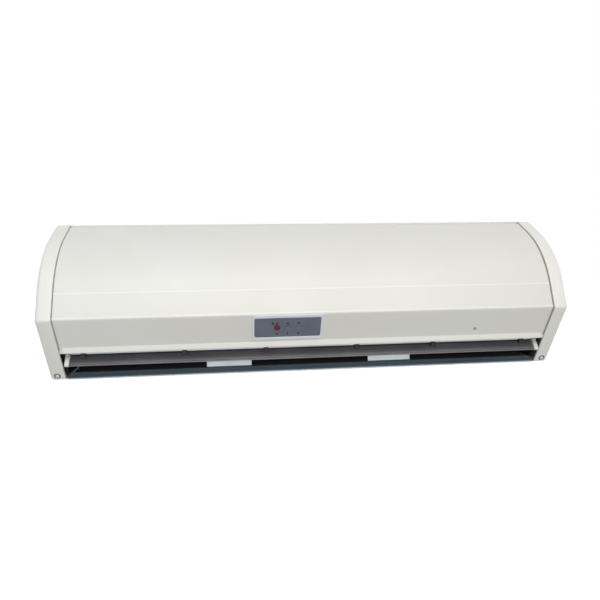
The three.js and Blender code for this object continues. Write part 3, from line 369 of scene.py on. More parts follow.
def cells(group, vector, scale):
    """A value that is constant in each cell of a cell pattern."""
    node = group.nodes.new("ShaderNodeTexVoronoi")
    group.links.new(vector, node.inputs["Vector"])
    group.links.new(scale, node.inputs["Scale"])
    split = group.nodes.new("ShaderNodeSeparateColor")
    group.links.new(node.outputs["Color"], split.inputs[0])
    return split.outputs[0]


def summed(group, a, b):
    """The sum of two values, held between 0 and 1."""
    node = group.nodes.new("ShaderNodeMath")
    node.use_clamp = True
    group.links.new(a, node.inputs[0])
    group.links.new(b, node.inputs[1])
    return node.outputs[0]


def surface_group(name, grain_stretch, grain_scale, mark_stretch, mark_scale, mark_from, spangle=0.0):
    """Cloud: slow unevenness of the surface. Grain: its fine relief. Mark: sparse scuffs and specks."""
    group, source, sink, where = new_group(name, ("Cloud", "Grain", "Mark"))
    scale = source.outputs["Scale"]
    plain = stretched(group, where, (1, 1, 1))
    cloud = noise(group, plain, scale, 4.0, 0.55)
    if spangle:
        cell = cells(group, plain, times(group, scale, spangle))
        cloud = summed(group, times(group, cell, 0.65), times(group, cloud, 0.35))
    cloud = ramp(group, cloud, 0.32, 0.68)
    grain = noise(group, stretched(group, where, grain_stretch), times(group, scale, grain_scale), 2.0)
    mark = noise(group, stretched(group, where, mark_stretch), times(group, scale, mark_scale), 5.0, 0.65)
    mark = ramp(group, mark, mark_from, mark_from + 0.14)
    for value, out in ((cloud, "Cloud"), (grain, "Grain"), (mark, "Mark")):
        group.links.new(value, sink.inputs[out])
    return group


PAINTED = surface_group("powder_paint", (1, 1, 1), 90.0, (1, 14, 14), 4.0, 0.62)
MOULDED = surface_group("moulded_plastic", (1, 1, 1), 130.0, (1, 1, 1), 9.0, 0.66)
DRAWN = surface_group("drawn_metal", (0.03, 1, 1), 190.0, (0.3, 6, 6), 5.0, 0.6)
DIPPED = surface_group("zinc_spangle", (1, 1, 1), 60.0, (1, 8, 3), 3.0, 0.6, 20.0)
CAST = surface_group("cast_metal", (1, 1, 1), 45.0, (1, 1, 1), 7.0, 0.6)


def dust_group():
    """Dust lies where a surface faces up: the normal's height times a broken noise."""
    group, source, sink, where = new_group("settled_dust", ("Dust",))
    normal = group.nodes.new("ShaderNodeNewGeometry")
    split = group.nodes.new("ShaderNodeSeparateXYZ")
    group.links.new(normal.outputs["Normal"], split.inputs[0])
    facing = ramp(group, split.outputs["Z"], 0.55, 1.0)
    patches = noise(group, where.outputs["Object"], source.outputs["Scale"], 6.0, 0.7)
    broken = ramp(group, patches, 0.35, 0.75)
    group.links.new(times(group, facing, broken), sink.inputs["Dust"])
    return group


DUST = dust_group()


def band(group, value, low, edge, high, far):
    """1 where the value lies between two edges, running out to 0 at low and far."""
    rise = ramp(group, value, low, edge)
    fall = ramp(group, value, high, far, 1.0, 0.0)
    return times(group, rise, fall)


def seam_shade_group():
    """Painted shade in the seams between the cover and the caps: a band of the distance from the middle
    plane, broken by noise."""
    group, source, sink, where = new_group("seam_painted_shade", ("Shade",))
    split = group.nodes.new("ShaderNodeSeparateXYZ")
    group.links.new(where.outputs["Object"], split.inputs[0])
    side = group.nodes.new("ShaderNodeMath")
    side.operation = "ABSOLUTE"
    group.links.new(split.outputs["X"], side.inputs[0])
    line = band(group, side.outputs[0], 0.4232, 0.4239, 0.4243, 0.4251)
    patches = noise(group, where.outputs["Object"], source.outputs["Scale"], 4.0, 0.6)
    group.links.new(times(group, line, ramp(group, patches, 0.2, 0.5, 0.7)), sink.inputs["Shade"])
    return group


SEAM_SHADE = seam_shade_group()


def fold_highlight_group():
    """Painted highlight along the two long folds of the cover, where the bends catch the light: narrow bands
    of height, broken along the length by noise."""
    group, source, sink, where = new_group("fold_painted_highlight", ("Highlight",))
    split = group.nodes.new("ShaderNodeSeparateXYZ")
    group.links.new(where.outputs["Object"], split.inputs[0])
    height = split.outputs["Z"]
    folds = ((COVER[1][1] * MM, 0.0011), (COVER[0][1] * MM + 0.0026, 0.0012))
    bands = [band(group, height, z - half, z - 0.3 * half, z + 0.3 * half, z + half) for z, half in folds]
    along = noise(group, stretched(group, where, (1, 0, 0)), source.outputs["Scale"], 3.0, 0.6)
    both = times(group, summed(group, *bands), ramp(group, along, 0.3, 0.6, 0.35))
    group.links.new(both, sink.inputs["Highlight"])
    return group


FOLD_HIGHLIGHT = fold_highlight_group()


def srgb(r, g, b):
    """An sRGB colour of 0..255 as the linear colour that sockets take."""
    c = np.array([r, g, b]) / 255
    c = np.where(c <= 0.04045, c / 12.92, ((c + 0.055) / 1.055) ** 2.4)
    return (*c.tolist(), 1.0)


def mix(tree, factor, a, b):
    """A colour between a and b; each is a colour or another node's output."""
    node = tree.nodes.new("ShaderNodeMix")
    node.data_type = "RGBA"
    tree.links.new(factor, node.inputs["Factor"])
    for socket, value in ((node.inputs[6], a), (node.inputs[7], b)):
        if isinstance(value, tuple):
            socket.default_value = value
        else:
            tree.links.new(value, socket)
    return node.outputs[2]


def shared(tree, group, scale):
    """The outputs of a shared effect placed in a material."""
    node = tree.nodes.new("ShaderNodeGroup")
    node.node_tree = group
    node.inputs["Scale"].default_value = scale
    return node.outputs


DUST_COLOUR = srgb(188, 182, 170)
# colour of the painted shade in the seams between the cover and the caps
SEAM_SHADE_COLOUR = srgb(92, 88, 78)
# colour of the painted highlight along the cover's folds
FOLD_HIGHLIGHT_COLOUR = srgb(255, 255, 252)


def finish(name, surface, pale, deep, worn, rough, bump, scale=9.0, depth=0.02, wear=0.5, dust=0.0,
           metallic=0.0, coat=0.0, specular=0.5, seam_shade=0.0, fold_highlight=0.0):
    """A node material. Its colour runs from pale to deep with the cloud and towards worn on the marks;
    its roughness follows the cloud and the marks, its relief the grain, and dust dulls what faces up."""
    made = bpy.data.materials.new(name)
    made.use_nodes = True
    tree = made.node_tree
    shader = tree.nodes["Principled BSDF"]
    effect = shared(tree, surface, scale)
    mark = times(tree, effect["Mark"], wear)
    colour = mix(tree, effect["Cloud"], srgb(*pale), srgb(*deep))
    colour = mix(tree, mark, colour, srgb(*worn))
    uneven = ramp(tree, effect["Cloud"], 0.0, 1.0, rough[0], rough[1])
    level = summed(tree, uneven, times(tree, mark, 0.25))
    if dust:
        film = times(tree, shared(tree, DUST, 4 * scale)["Dust"], dust)
        colour = mix(tree, film, colour, DUST_COLOUR)
        level = summed(tree, level, times(tree, film, 0.5))
    # painted shade: the seams beside the caps are darkened
    if seam_shade:
        colour = mix(tree, times(tree, shared(tree, SEAM_SHADE, 40.0)["Shade"], seam_shade), colour, SEAM_SHADE_COLOUR)
    # painted highlight: the light caught by the folds is lightened into the colour
    if fold_highlight:
        colour = mix(tree, times(tree, shared(tree, FOLD_HIGHLIGHT, 3.0)["Highlight"], fold_highlight), colour, FOLD_HIGHLIGHT_COLOUR)
    tree.links.new(colour, shader.inputs["Base Color"])
    tree.links.new(level, shader.inputs["Roughness"])
    relief = tree.nodes.new("ShaderNodeBump")
    relief.inputs["Strength"].default_value = bump
    relief.inputs["Distance"].default_value = depth * MM
    tree.links.new(effect["Grain"], relief.inputs["Height"])
    tree.links.new(relief.outputs["Normal"], shader.inputs["Normal"])
    shader.inputs["Metallic"].default_value = metallic
    shader.inputs["Coat Weight"].default_value = coat
    shader.inputs["Coat Roughness"].default_value = 0.12
    shader.inputs["Specular IOR Level"].default_value = specular
    return made


FINISH = {
    "cover_paint": finish("cover_paint", PAINTED, (239, 239, 234), (235, 232, 223), (224, 221, 212),
                          (0.3, 0.36), 0.35, scale=3.0, wear=0.07, dust=0.05, coat=0.12, specular=0.4,
                          seam_shade=0.65, fold_highlight=0.9),
    "cap_plastic": finish("cap_plastic", MOULDED, (248, 247, 240), (243, 242, 234), (232, 230, 219),
                          (0.33, 0.42), 0.5, scale=6.0, wear=0.08, dust=0.05, seam_shade=0.65),
    "panel_frame": finish("panel_frame", MOULDED, (238, 243, 250), (230, 236, 244), (216, 220, 228),
                          (0.35, 0.45), 0.5, scale=30.0, wear=0.3),
    "panel_plate": finish("panel_plate", MOULDED, (95, 100, 114), (86, 92, 106), (120, 124, 134),
                          (0.36, 0.48), 0.7, scale=30.0, wear=0.2),
    "red_key": finish("red_key", MOULDED, (100, 18, 36), (86, 14, 28), (140, 60, 70),
                      (0.42, 0.52), 0.4, scale=60.0, wear=0.3, specular=0.3),
    "grey_key": finish("grey_key", MOULDED, (100, 105, 119), (91, 97, 111), (128, 132, 142),
                       (0.3, 0.42), 0.4, scale=60.0, wear=0.3),
    "lamp_lens": finish("lamp_lens", MOULDED, (48, 28, 50), (36, 22, 40), (80, 56, 74),
                        (0.4, 0.5), 0.2, scale=120.0, wear=0.2, specular=0.25),
    "black_plastic": finish("black_plastic", MOULDED, (34, 32, 38), (24, 22, 28), (66, 64, 68),
                            (0.42, 0.56), 0.7, scale=20.0, wear=0.35),
    "vane_paint": finish("vane_paint", PAINTED, (108, 106, 110), (94, 92, 96), (146, 143, 147),
                         (0.34, 0.46), 0.5, scale=12.0, wear=0.35, coat=0.5),
    "white_plastic": finish("white_plastic", MOULDED, (236, 235, 229), (228, 227, 219), (210, 208, 198),
                            (0.36, 0.46), 0.5, scale=20.0, wear=0.3),
    "galvanised": finish("galvanised", DIPPED, (190, 195, 198), (174, 180, 184), (146, 150, 153),
                         (0.36, 0.46), 0.4, scale=11.0, wear=0.3, metallic=0.9),
    # sill_steel: its blue-grey base colour is painted reflection and painted shade, galvanised steel
    # mirroring a dark blue room from the shade of the mouth, given as a nearly non-metallic colour
    "sill_steel": finish("sill_steel", DRAWN, (114, 131, 143), (96, 112, 123), (150, 162, 172),
                         (0.42, 0.55), 0.5, wear=0.3, metallic=0.1, specular=0.35),
    "bright_steel": finish("bright_steel", DRAWN, (190, 198, 202), (168, 177, 182), (132, 138, 142),
                           (0.26, 0.4), 0.5, wear=0.35, metallic=1.0),
    "black_paint": finish("black_paint", PAINTED, (20, 18, 24), (12, 10, 16), (46, 44, 50),
                          (0.5, 0.66), 0.6, scale=12.0, wear=0.3),
    "rubber": finish("rubber", MOULDED, (40, 40, 42), (28, 28, 31), (70, 69, 68),
                     (0.7, 0.86), 0.9, scale=26.0, wear=0.35),
    "motor_aluminium": finish("motor_aluminium", CAST, (176, 180, 183), (148, 152, 156), (112, 114, 116),
                              (0.42, 0.6), 0.9, scale=16.0, depth=0.06, wear=0.45, metallic=0.85),
    "board": finish("board", MOULDED, (44, 96, 62), (32, 76, 48), (120, 130, 90),
                    (0.3, 0.46), 0.6, scale=60.0, wear=0.5),
    "capacitor_case": finish("capacitor_case", MOULDED, (218, 215, 205), (206, 203, 192), (180, 176, 164),
                             (0.4, 0.52), 0.6, scale=24.0, wear=0.3),
}


def piece(obj, body, slot, *nodes):
    """Gives a new piece the material of its slot and its body, and hides the CAD nodes that it stands for."""
    obj.data.materials.clear()
    obj.data.materials.append(FINISH[slot])
    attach(obj, body)
    if nodes:
        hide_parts(*nodes)
    return obj


# ---------------------------------------------------------------- front cover
WINDOW_X = (-92.0, 6.0)  # sides of the opening behind the control panel
WINDOW_HEIGHT = 30.0
COVER_BENDS = (2.2, 2.0, 5.0, 2.5)  # lip, end of the fascia, crease, top edge


def front_cover():
    """One sheet: the cover's path from the hem under the lip, round the lip, up the fascia, over the
    crease and the crown to the flange behind the top edge, carried along X. Cells of the grid that lie
    in the control opening are left out, and so are the tucked ends of the lip and of the flange."""
    start = (FASCIA_LENGTH - WINDOW_HEIGHT) / 2
    window = [COVER[0] + DOWN_FASCIA * (start + WINDOW_HEIGHT), COVER[0] + DOWN_FASCIA * start]
    corners = np.vstack([LIP + HEM_STEP, LIP, FASCIA_END, window, COVER, COVER[-1] + FLANGE_STEP])
    radii = np.zeros(len(corners))
    radii[[1, 2, 5, -2]] = COVER_BENDS
    path = rounded_path(corners, radii, 8)
    along = np.concatenate([[0], np.cumsum(np.linalg.norm(np.diff(path, axis=0), axis=1))])
    spots = [along[np.linalg.norm(path - p, axis=1).argmin()] for p in window]
    lip_end = along[np.linalg.norm(path - FASCIA_END, axis=1).argmin()]
    top = along[np.linalg.norm(path - COVER[-1], axis=1).argmin()]
    seen_xs = np.linspace(-COVER_END, COVER_END, 97)
    xs = np.unique(np.concatenate([seen_xs, [-COVER_TUCKED, COVER_TUCKED, *WINDOW_X]]))
    grid = at_x(path, xs)
    middle_x = (xs[1:] + xs[:-1])[:, None] / 2
    middle_s = (along[1:] + along[:-1])[None, :] / 2
    across = (middle_x > WINDOW_X[0]) & (middle_x < WINDOW_X[1])
    hole = across & (middle_s > spots[0]) & (middle_s < spots[1])
    tucked = (abs(middle_x) > COVER_END) & ((middle_s < lip_end) | (middle_s > top))
    quads = grid_faces(*grid.shape[:2])[~(hole | tucked).ravel()]
    obj = build("front_cover_sheet", grid, quads, angle=40)
    if obj.data.polygons[0].normal.y > 0:
        obj.data.flip_normals()
    wall = obj.modifiers.new("wall", "SOLIDIFY")
    wall.thickness = SHEET * MM
    wall.offset = -1
    wall.use_even_offset = True
    return obj


piece(front_cover(), "casing", "cover_paint", "front_cover")


# ---------------------------------------------------------------- end caps
def end_cap(side):
    """A moulded shell: the casing's outline carried through pairs of inset and x, from the inner
    lid along the inner wall, round the rim beside the cover, along the outside and round the big
    outer edge to the end face."""
    turn = np.linspace(0, np.pi / 2, 9)
    rim = [(RIM_EDGE * (1 - math.sin(t)), RIM_X + RIM_EDGE * (1 - math.cos(t))) for t in turn]
    edge = [(CAP_EDGE * (1 - math.cos(t)), HALF - CAP_EDGE * (1 - math.sin(t))) for t in turn]
    pairs = [(CAP_WALL, HALF - CAP_WALL), (CAP_WALL, RIM_X), *rim, *edge]
    grid = np.array([at_x(casing_outline(inset), [side * x])[0] for inset, x in pairs])
    count, columns = grid.shape[:2]
    last = (count - 1) * columns
    first_column = np.arange(count) * columns
    lids = [np.arange(columns), last + np.arange(columns), first_column, first_column + columns - 1,
            [0, columns - 1, last + columns - 1, last]]
    name = "end_cap_shell_" + ("left" if side < 0 else "right")
    return build(name, grid, grid_faces(count, columns), lids, angle=34)


for label, side in (("left", -1), ("right", 1)):
    piece(end_cap(side), "casing", "cap_plastic", label + "_end_cap")


# ---------------------------------------------------------------- screws
CAP_SCREW_X = 437.0
CAP_SCREW_UP = 9.0  # above the bottom corner, along the slope
FASCIA_SCREW_X = 289.5
FASCIA_SCREW_DOWN = 43.5  # below the crease, along the fascia
SCREW_SEAT = 0.1  # clear of the surface behind
TRENCH = 0.55  # half width of the cross recess


def pan_screw(name, place, radius, height):
    """A domed head with a cross recess: height = dome of the radius, less a smooth trench along both
    axes that runs out before the rim."""
    r = radius * np.sin(np.linspace(0, np.pi / 2, 22))
    dome = height * np.sqrt(np.clip(1 - (r / radius) ** 2, 0, 1)) ** 0.8
    grid = turned_grid(np.stack([r, dome], 1), 96)
    x, y = grid[..., 0], grid[..., 1]
    trench = np.maximum(np.clip(1.15 - abs(x) / TRENCH, 0, 1), np.clip(1.15 - abs(y) / TRENCH, 0, 1))
    reach = np.clip((0.62 * radius - np.hypot(x, y)) / 0.5, 0, 1)
    grid[..., 2] -= 0.5 * height * trench * reach
    rim = turned_grid([[radius, 0.0], [radius, -0.15]], 96)[1:]
    grid = np.concatenate([grid, rim])
    rows, columns = grid.shape[:2]
    base = [(rows - 1) * columns + np.arange(columns)]
    return build(name, place(grid), grid_faces(rows, columns, True), base, angle=50)


def painted_shade_ring(name, place, inner, outer, height):
    """A flat dark ring with rounded edges round a screw's head: painted shade of the recess that the head
    sits in.
    """
    profile = soft_steps([[inner, 0], [outer, 0], [outer, height], [inner, height], [inner, 0]], 0.15, 3)
    return turned(name, profile, place)


for label, side in (("left", -1), ("right", 1)):
    spot = on_fascia(side * CAP_SCREW_X, BOTTOM_CORNER - CAP_SCREW_UP * DOWN_FASCIA + OUT_FASCIA * SCREW_SEAT)
    head = pan_screw("cap_screw_head_" + label, spot, 3.7, 1.8)
    piece(head, "casing", "bright_steel", "cap_screw_" + label)
    # the dark ring round each screw head is painted shade of its recess
    piece(painted_shade_ring("cap_screw_washer_" + label, spot, 3.5, 5.3, 0.5), "casing", "rubber")
spot = on_fascia(FASCIA_SCREW_X, COVER[0] + FASCIA_SCREW_DOWN * DOWN_FASCIA + OUT_FASCIA * SCREW_SEAT)
piece(pan_screw("fascia_screw_head", spot, 1.6, 0.8), "casing", "bright_steel", "fascia_screw")
piece(painted_shade_ring("fascia_screw_washer", spot, 1.5, 2.7, 0.3), "casing", "rubber")


# ---------------------------------------------------------------- control panel
COLUMNS = (-18.3, -0.1, 18.1)  # the three keys along the panel
LAMP_UP = 9.0
RECEIVER_X = -25.4
MARK_DOWN = 13.4
FRAME_SIZE = (119.6, 53.0)
FRAME_HOLE = (113.0, 41.0)
FACE_SIZE = (112.6, 40.6)
PANEL_FOOT = 0.3
FACE_TOP = 1.3
KEY_FOOT = -3.0
KEY_PROUD = 3.3
KEY_EDGE = 0.7
KEY_DISH = 0.35
LENS_FOOT = -1.0
LENS_DOME = 0.48  # height of a lens's dome as a share of its radius
ARC = np.linspace(0, np.pi / 2, 6)


def rolled(width, height, radius, low, high, edge):
    """Rings of a plate whose front edge is rolled over by the edge radius."""
    ends = [(edge * (1 - math.cos(t)), high - edge * (1 - math.sin(t))) for t in ARC]
    return plate_rings(width, height, radius, [(0.0, low), *ends])


def bezel():
    """The frame round the plate: its profile of a rolled outer edge, a flat front and a small inner
    chamfer carried round the rounded rectangle."""
    outer = rolled(*FRAME_SIZE, 3.6, PANEL_FOOT, 1.6, 0.9)
    inner = plate_rings(*FRAME_HOLE, 3.0, [(-0.5, 1.6), (-0.15, 1.5), (0.0, 1.2), (0.0, PANEL_FOOT)])
    grid = np.concatenate([outer, inner, outer[:1]])
    return build("control_bezel", in_panel(0)(grid), grid_faces(*grid.shape[:2], True))


def key(name, x, radius):
    """A round key: its skirt, a rolled edge and a top dished by a cosine of the radius."""
    flat = radius - KEY_EDGE
    edge = [(flat + KEY_EDGE * math.cos(t), KEY_PROUD - KEY_EDGE * (1 - math.sin(t))) for t in ARC]
    r = np.linspace(flat, 0, 10)[1:]
    top = np.stack([r, KEY_PROUD - KEY_DISH * 0.5 * (1 + np.cos(np.pi * r / flat))], 1)
    return turned(name, np.vstack([[0, KEY_FOOT], [radius, KEY_FOOT], edge, top]), in_panel(x), 48)


piece(bezel(), "casing", "panel_frame", "control_frame")
face = rolled(*FACE_SIZE, 2.9, PANEL_FOOT, FACE_TOP, 0.3)
piece(joined_rings("control_face", in_panel(0)(face)), "casing", "panel_plate", "control_plate")
piece(key("power_key", COLUMNS[0], 5.0), "power_button", "red_key", "button_power")
piece(key("low_key", COLUMNS[1], 3.6), "low_button", "grey_key", "button_low")
piece(key("high_key", COLUMNS[2], 3.6), "high_button", "grey_key", "button_high")


def lens(name, x, radius, proud):
    """A small dome on a short barrel: height = proud at the middle, falling as a quarter circle."""
    t = np.linspace(0, np.pi / 2, 8)
    dome = np.stack([radius * np.cos(t), proud - LENS_DOME * radius * (1 - np.sin(t))], 1)
    barrel = np.vstack([[0, LENS_FOOT], [radius, LENS_FOOT], dome])
    return turned(name, barrel, in_panel(x, LAMP_UP), 40)


def mark(name, x, width, height):
    """A thin printed mark under a key: a small plate with rounded corners."""
    rings = [(0.0, FACE_TOP - 0.02), (0.0, FACE_TOP + 0.06), (0.1, FACE_TOP + 0.1)]
    grid = plate_rings(width, height, min(width, height) / 2.2, rings)
    return joined_rings(name, in_panel(x, -MARK_DOWN)(grid))


for k, (x, width, height) in enumerate(zip(COLUMNS, (4.0, 2.0, 3.0), (4.0, 4.6, 4.4)), 1):
    piece(mark(f"key_mark_{k}", x, width, height), "casing", "black_plastic")
for k, x in enumerate(COLUMNS, 1):
    piece(lens(f"lamp_{k}", x, 2.0, 2.1), "casing", "lamp_lens", f"indicator_{k}")
piece(lens("receiver_lens", RECEIVER_X, 2.8, 2.0), "casing", "black_plastic", "receiver_window")


# ---------------------------------------------------------------- vane
LEAN = math.radians(36.1)
VANE_DIR = np.array([-math.cos(LEAN), -math.sin(LEAN)])
VANE_UP = np.array([VANE_DIR[1], -VANE_DIR[0]])
VANE_X = 411.9  # half the blade's length
VANE_BACK = -22.0
VANE_FRONT = 20.4
VANE_BELOW = -4.16  # blade's upper face to the rod, at its highest
VANE_ARCH = 1.4
VANE_DROOP = 1.2  # added towards the front edge
VANE_SHEET = 1.6
BEAD = 1.35


def vane_blade():
    """The blade's section: a shallow arch from back to front with a bead rolled at the front edge,
    carried between the arms."""
    along = np.linspace(VANE_BACK, VANE_FRONT, 30)
    droop = np.clip((along - 15) / 7, 0, 1) ** 2
    arch = VANE_BELOW - VANE_ARCH * (along / VANE_BACK) ** 2 - VANE_DROOP * droop
    upper = np.stack([along, arch], 1)
    t = np.linspace(np.pi / 2, -np.pi * 0.62, 14)
    bead = np.array([VANE_FRONT + 0.2, arch[-1] - 1.25]) + BEAD * np.stack([np.cos(t), np.sin(t)], 1)
    lower = (upper - [0, VANE_SHEET])[::-1][1:]
    section = np.vstack([upper, bead, lower[lower[:, 0] < VANE_FRONT - 1.8]])
    world = PIVOT + section[:, :1] * VANE_DIR + section[:, 1:] * VANE_UP
    return joined_rings("vane_blade_sheet", at_x(world, np.linspace(-VANE_X, VANE_X, 41)), 50)


piece(vane_blade(), "vane", "vane_paint", "vane_blade")
for label in ("left", "right"):
    arm = "vane_arm_" + label
    piece(dressed("vane_end_" + label, arm, 0.9, 3), "vane", "white_plastic", arm)
    for k in (1, 2, 3):
        node = f"vane_clip_{label}_{k}"
        piece(dressed(f"rod_clip_{label}_{k}", node, 0.5), "vane", "black_plastic", node)


# ---------------------------------------------------------------- rotors
BLADES = 36
BLADE_ROOT = 39.0
BLADE_DEPTH = 10.4
BLADE_SWEEP = math.radians(13.0)
BLADE_SHEET = 1.0
BLADE_INSET = 1.2  # ends of the blades inside the discs
BLADE_MIDDLE = 40.0  # half the distance between a blade's two inner rings of points
DISC_RADIUS = 50.0
DISC_SHEET = 2.5
DISC_STEPS = 72
HUB_RADIUS = 12.0
HUB_LENGTH = 14.0
HUB_BORE = 4.3
TIE_INNER = 38.0
TIE_HALF = 1.0
STUB_RADIUS = 4.0
STUB_OUT = 17.5
NEAR_AXIS = 0.01


def blade_ring(x0, x1):
    """All the blades of a wheel as grids of points and their faces: a curved section, whose angle grows
    with the square of its share of the radius, turned round the shaft in equal steps."""
    share = np.linspace(0, 1, 7)
    radius = BLADE_ROOT + BLADE_DEPTH * share
    angle = BLADE_SWEEP * share ** 2
    section = folded(np.stack([radius * np.cos(angle), radius * np.sin(angle)], 1), BLADE_SHEET)
    t = 2 * np.pi * np.arange(BLADES)[:, None] / BLADES
    middle = (x0 + x1) / 2
    ends = np.array([x0 + BLADE_INSET, middle - BLADE_MIDDLE, middle + BLADE_MIDDLE, x1 - BLADE_INSET])
    grid = np.empty((BLADES, len(ends), len(section), 3))
    grid[..., 0] = ends[None, :, None]
    grid[..., 1] = (SHAFT[0] + section[:, 0] * np.cos(t) - section[:, 1] * np.sin(t))[:, None]
    grid[..., 2] = (SHAFT[1] + section[:, 0] * np.sin(t) + section[:, 1] * np.cos(t))[:, None]
    first = np.arange(BLADES) * len(ends) * len(section)
    quads = grid_faces(len(ends), len(section), True)[None] + first[:, None, None]
    return grid.reshape(-1, 3), quads.reshape(-1, 4)


def end_disc(x, inwards):
    """The turning profile of an end disc with its hub, from the bore outwards and back."""
    face, hub = x + inwards * DISC_SHEET, x + inwards * HUB_LENGTH
    return [[HUB_BORE, x], [HUB_RADIUS, x], [DISC_RADIUS, x], [DISC_RADIUS, face], [HUB_RADIUS, face],
            [HUB_RADIUS, hub], [HUB_BORE, hub]]


def wheel(name, x0, x1, stub):
    """A cross-flow wheel: its blades, two end discs with hubs, a tie ring at mid length and the stub
    that runs in the bearing, out of the end that the sign of stub gives."""
    middle, end = (x0 + x1) / 2, x0 if stub < 0 else x1
    root, tip = end - stub * HUB_LENGTH, end + stub * STUB_OUT
    profiles = [end_disc(x0, 1), end_disc(x1, -1),
                [[TIE_INNER, middle - TIE_HALF], [DISC_RADIUS, middle - TIE_HALF],
                 [DISC_RADIUS, middle + TIE_HALF], [TIE_INNER, middle + TIE_HALF]],
                [[NEAR_AXIS, root], [STUB_RADIUS, root], [STUB_RADIUS, tip], [NEAR_AXIS, tip]]]
    points, quads = blade_ring(x0, x1)
    for profile in profiles:
        grid = on_shaft(turned_grid(soft_steps(profile + profile[:1], 0.5, 2), DISC_STEPS))
        quads = np.vstack([quads, grid_faces(len(grid), DISC_STEPS, True) + len(points)])
        points = np.vstack([points, grid.reshape(-1, 3)])
    return build(name, points, quads, angle=35)


piece(wheel("fan_wheel_left", -398.0, -192.0, -1), "rotor_left", "black_plastic", "impeller_left")
piece(wheel("fan_wheel_centre", -101.0, 101.0, 1), "rotor_left", "black_plastic", "impeller_centre")
piece(wheel("fan_wheel_right", 192.0, 398.0, 1), "rotor_right", "black_plastic", "impeller_right")


def shaft(name, x0, x1, radius=4.0, chamfer=0.6):
    """A round bar with chamfered ends."""
    face = radius - chamfer
    profile = [[0, x0], [face, x0], [radius, x0 + chamfer], [radius, x1 - chamfer], [face, x1], [0, x1]]
    return turned(name, profile, on_shaft, 32)


piece(shaft("steel_shaft_left", -202.0, -91.0), "rotor_left", "bright_steel", "motor_shaft_left")
piece(shaft("steel_shaft_right", 126.0, 202.0), "rotor_right", "bright_steel", "motor_shaft_right")


# ---------------------------------------------------------------- motors
MOTOR_X = 152.0
MOTOR_HALF = [[4.3, 32], [9, 32], [9, 26], [25.4, 24], [36, 21.5], [38.1, 20], [38.1, 10.6], [41, 10.4]]
MOTOR_STEPS = 180
RIBS = 36
RIB_DEPTH = 0.035  # share of the radius
RIBS_FROM = (30.0, 10.5)  # ribs lie outside this radius and this far from the middle


def motor(name, x):
    """A cast housing: a smooth middle band, and two end bells whose radius falls and swells round the
    circumference as cooling ribs."""
    profile = np.array(MOTOR_HALF + [[r, -h] for r, h in MOTOR_HALF[::-1]] + MOTOR_HALF[:1])
    profile = rounded_path(profile, [0] + [0.8] * (len(profile) - 2) + [0], 3)
    grid = turned_grid(profile + [0, x], MOTOR_STEPS)
    t = 2 * np.pi * np.arange(MOTOR_STEPS) / MOTOR_STEPS
    rib = 1 - RIB_DEPTH * np.clip(np.cos(RIBS * t) + 0.2, 0, 1)
    radius, along = np.linalg.norm(grid[..., :2], axis=-1), abs(grid[..., 2] - x)
    bell = (radius > RIBS_FROM[0]) & (along > RIBS_FROM[1])
    grid[..., :2] *= np.where(bell, rib[None, :], 1.0)[..., None]
    return build(name, on_shaft(grid), grid_faces(len(grid), MOTOR_STEPS, True))


for label, side in (("left", -1), ("right", 1)):
    body = motor("motor_body_" + label, side * MOTOR_X)
    piece(body, "casing", "motor_aluminium", "motor_housing_" + label)


# ---------------------------------------------------------------- sill and the remaining CAD pieces
SILL_X = 420.4
SILL_FOLDS = [[-121.5, -121.6], [-125.4, -125.2], [-133.9, -128.2], [-133.9, -131.0]]
SILL_BENDS = [0, 1.5, 1.2, 0]

sill_section = folded(rounded_path(SILL_FOLDS, SILL_BENDS, 5), SHEET)
strip = joined_rings("sill_strip", at_x(sill_section, np.linspace(-SILL_X, SILL_X, 41)))
piece(strip, "casing", "sill_steel", "outlet_sill")

DRESSED = {
    "galvanised": ["back_plate", "motor_bracket_left", "motor_bracket_right"],
    "cover_paint": ["intake_grille"],
    # the side plates are galvanised steel coloured black here as painted shade, for the shade they sit in
    # inside the mouth
    "black_paint": ["outlet_tongue", "side_plate_left", "side_plate_right", "scroll_left", "scroll_centre",
                    "scroll_right"],
    "bright_steel": ["bay_plate_left", "bay_plate_right", "vane_rod", "bearing_left", "bearing_centre",
                     "bearing_right"],
    "rubber": ["cable_grommet", "bearing_holder_left", "bearing_holder_centre", "bearing_holder_right",
               "motor_ring_inner_left", "motor_ring_outer_left", "motor_ring_inner_right",
               "motor_ring_outer_right"],
    "capacitor_case": ["capacitor_left", "capacitor_right"],
    "white_plastic": ["terminal_block"],
    "board": ["control_board"],
}
BODY_OF = {n: b for b, o in frame["bodies"].items() for n in (c.name for c in o.children)}
for slot, names in DRESSED.items():
    for node in names:
        piece(dressed(node + "_piece", node, 0.3), BODY_OF[node], slot, node)


# ---------------------------------------------------------------- studio
FLOOR_Z = -1100.0
FLOOR_HALF = 9000.0
FLOOR_GREY = 0.75
FLOOR_GLOW = 0.85  # lifts the floor that is seen directly to white
SKY_STRENGTH = 0.29


def seen_directly(tree):
    """1 for camera, mirror and see-through rays, 0 for the light that the surface sends on."""
    rays = tree.nodes.new("ShaderNodeLightPath")
    either = summed(tree, rays.outputs["Is Camera Ray"], rays.outputs["Is Glossy Ray"])
    return summed(tree, either, rays.outputs["Is Transmission Ray"])


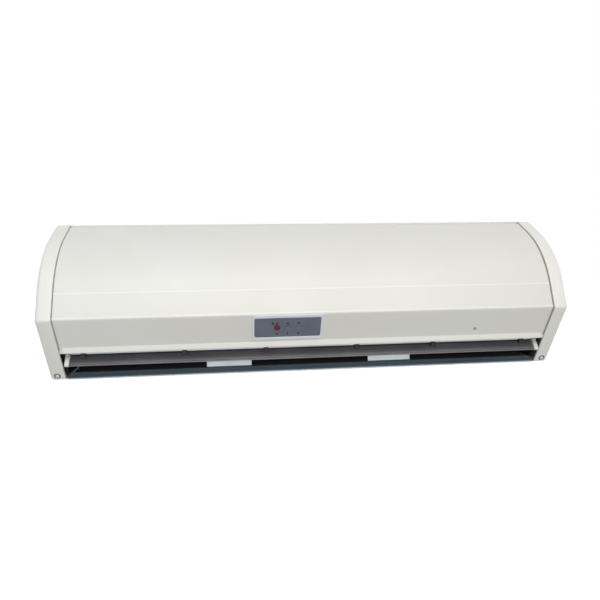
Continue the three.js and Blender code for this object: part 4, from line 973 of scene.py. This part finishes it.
def floor():
    """A wide square sheet below the part. Seen directly it is lifted to white, less the shadow."""
    line = np.linspace(-FLOOR_HALF, FLOOR_HALF, 9)
    grid = np.stack([*np.meshgrid(line, line), np.full((9, 9), FLOOR_Z)], -1)
    obj = build("studio_floor", grid, grid_faces(9, 9))
    made = bpy.data.materials.new("floor_white")
    made.use_nodes = True
    tree = made.node_tree
    shader = tree.nodes["Principled BSDF"]
    shader.inputs["Base Color"].default_value = (FLOOR_GREY, FLOOR_GREY, FLOOR_GREY, 1)
    shader.inputs["Roughness"].default_value = 0.9
    shader.inputs["Emission Color"].default_value = (1, 1, 1, 1)
    tree.links.new(times(tree, seen_directly(tree), FLOOR_GLOW), shader.inputs["Emission Strength"])
    obj.data.materials.append(made)
    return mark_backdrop(obj)


floor()


def lamp(name, place, aim, size, power):
    """A rectangular soft lamp that looks at the aim."""
    data = bpy.data.lights.new(name, "AREA")
    data.shape = "RECTANGLE"
    data.size, data.size_y = size
    data.energy = power
    obj = bpy.data.objects.new(name, data)
    bpy.context.scene.collection.objects.link(obj)
    obj.location = place
    way = Vector(aim) - Vector(place)
    obj.rotation_euler = way.to_track_quat("-Z", "Y").to_euler()
    return obj


lamp("key_light", (0.0, -1.62, 0.92), (0, -0.1, 0), (1.9, 1.5), 19.6)
lamp("top_light", (0.1, -1.7, 2.7), (0, -0.1, 0.05), (3.0, 1.6), 17)

world = bpy.data.worlds.new("studio")
bpy.context.scene.world = world
world.use_nodes = True
sky = world.node_tree
sky.nodes.clear()
to_world = sky.nodes.new("ShaderNodeOutputWorld")
seen = sky.nodes.new("ShaderNodeBackground")
seen.inputs["Color"].default_value = (1, 1, 1, 1)
seen.inputs["Strength"].default_value = 1.0
lit = sky.nodes.new("ShaderNodeBackground")
lit.inputs["Color"].default_value = (0.96, 0.98, 1.0, 1)
lit.inputs["Strength"].default_value = SKY_STRENGTH
choose = sky.nodes.new("ShaderNodeMixShader")
sky.links.new(seen_directly(sky), choose.inputs[0])
sky.links.new(lit.outputs[0], choose.inputs[1])
sky.links.new(seen.outputs[0], choose.inputs[2])
sky.links.new(choose.outputs[0], to_world.inputs[0])

view = bpy.data.cameras.new("camera")
view.sensor_width = 36.0
view.lens = view.sensor_width * 554.9 / 600
view.clip_start = 0.01
camera = bpy.data.objects.new("camera", view)
bpy.context.scene.collection.objects.link(camera)
camera.location = (-0.1330, -1.0983, 0.1374)
camera.rotation_euler = [math.radians(a) for a in (81.795, 0.424, -6.768)]
bpy.context.scene.camera = camera
bpy.context.scene.view_settings.view_transform = "Standard"
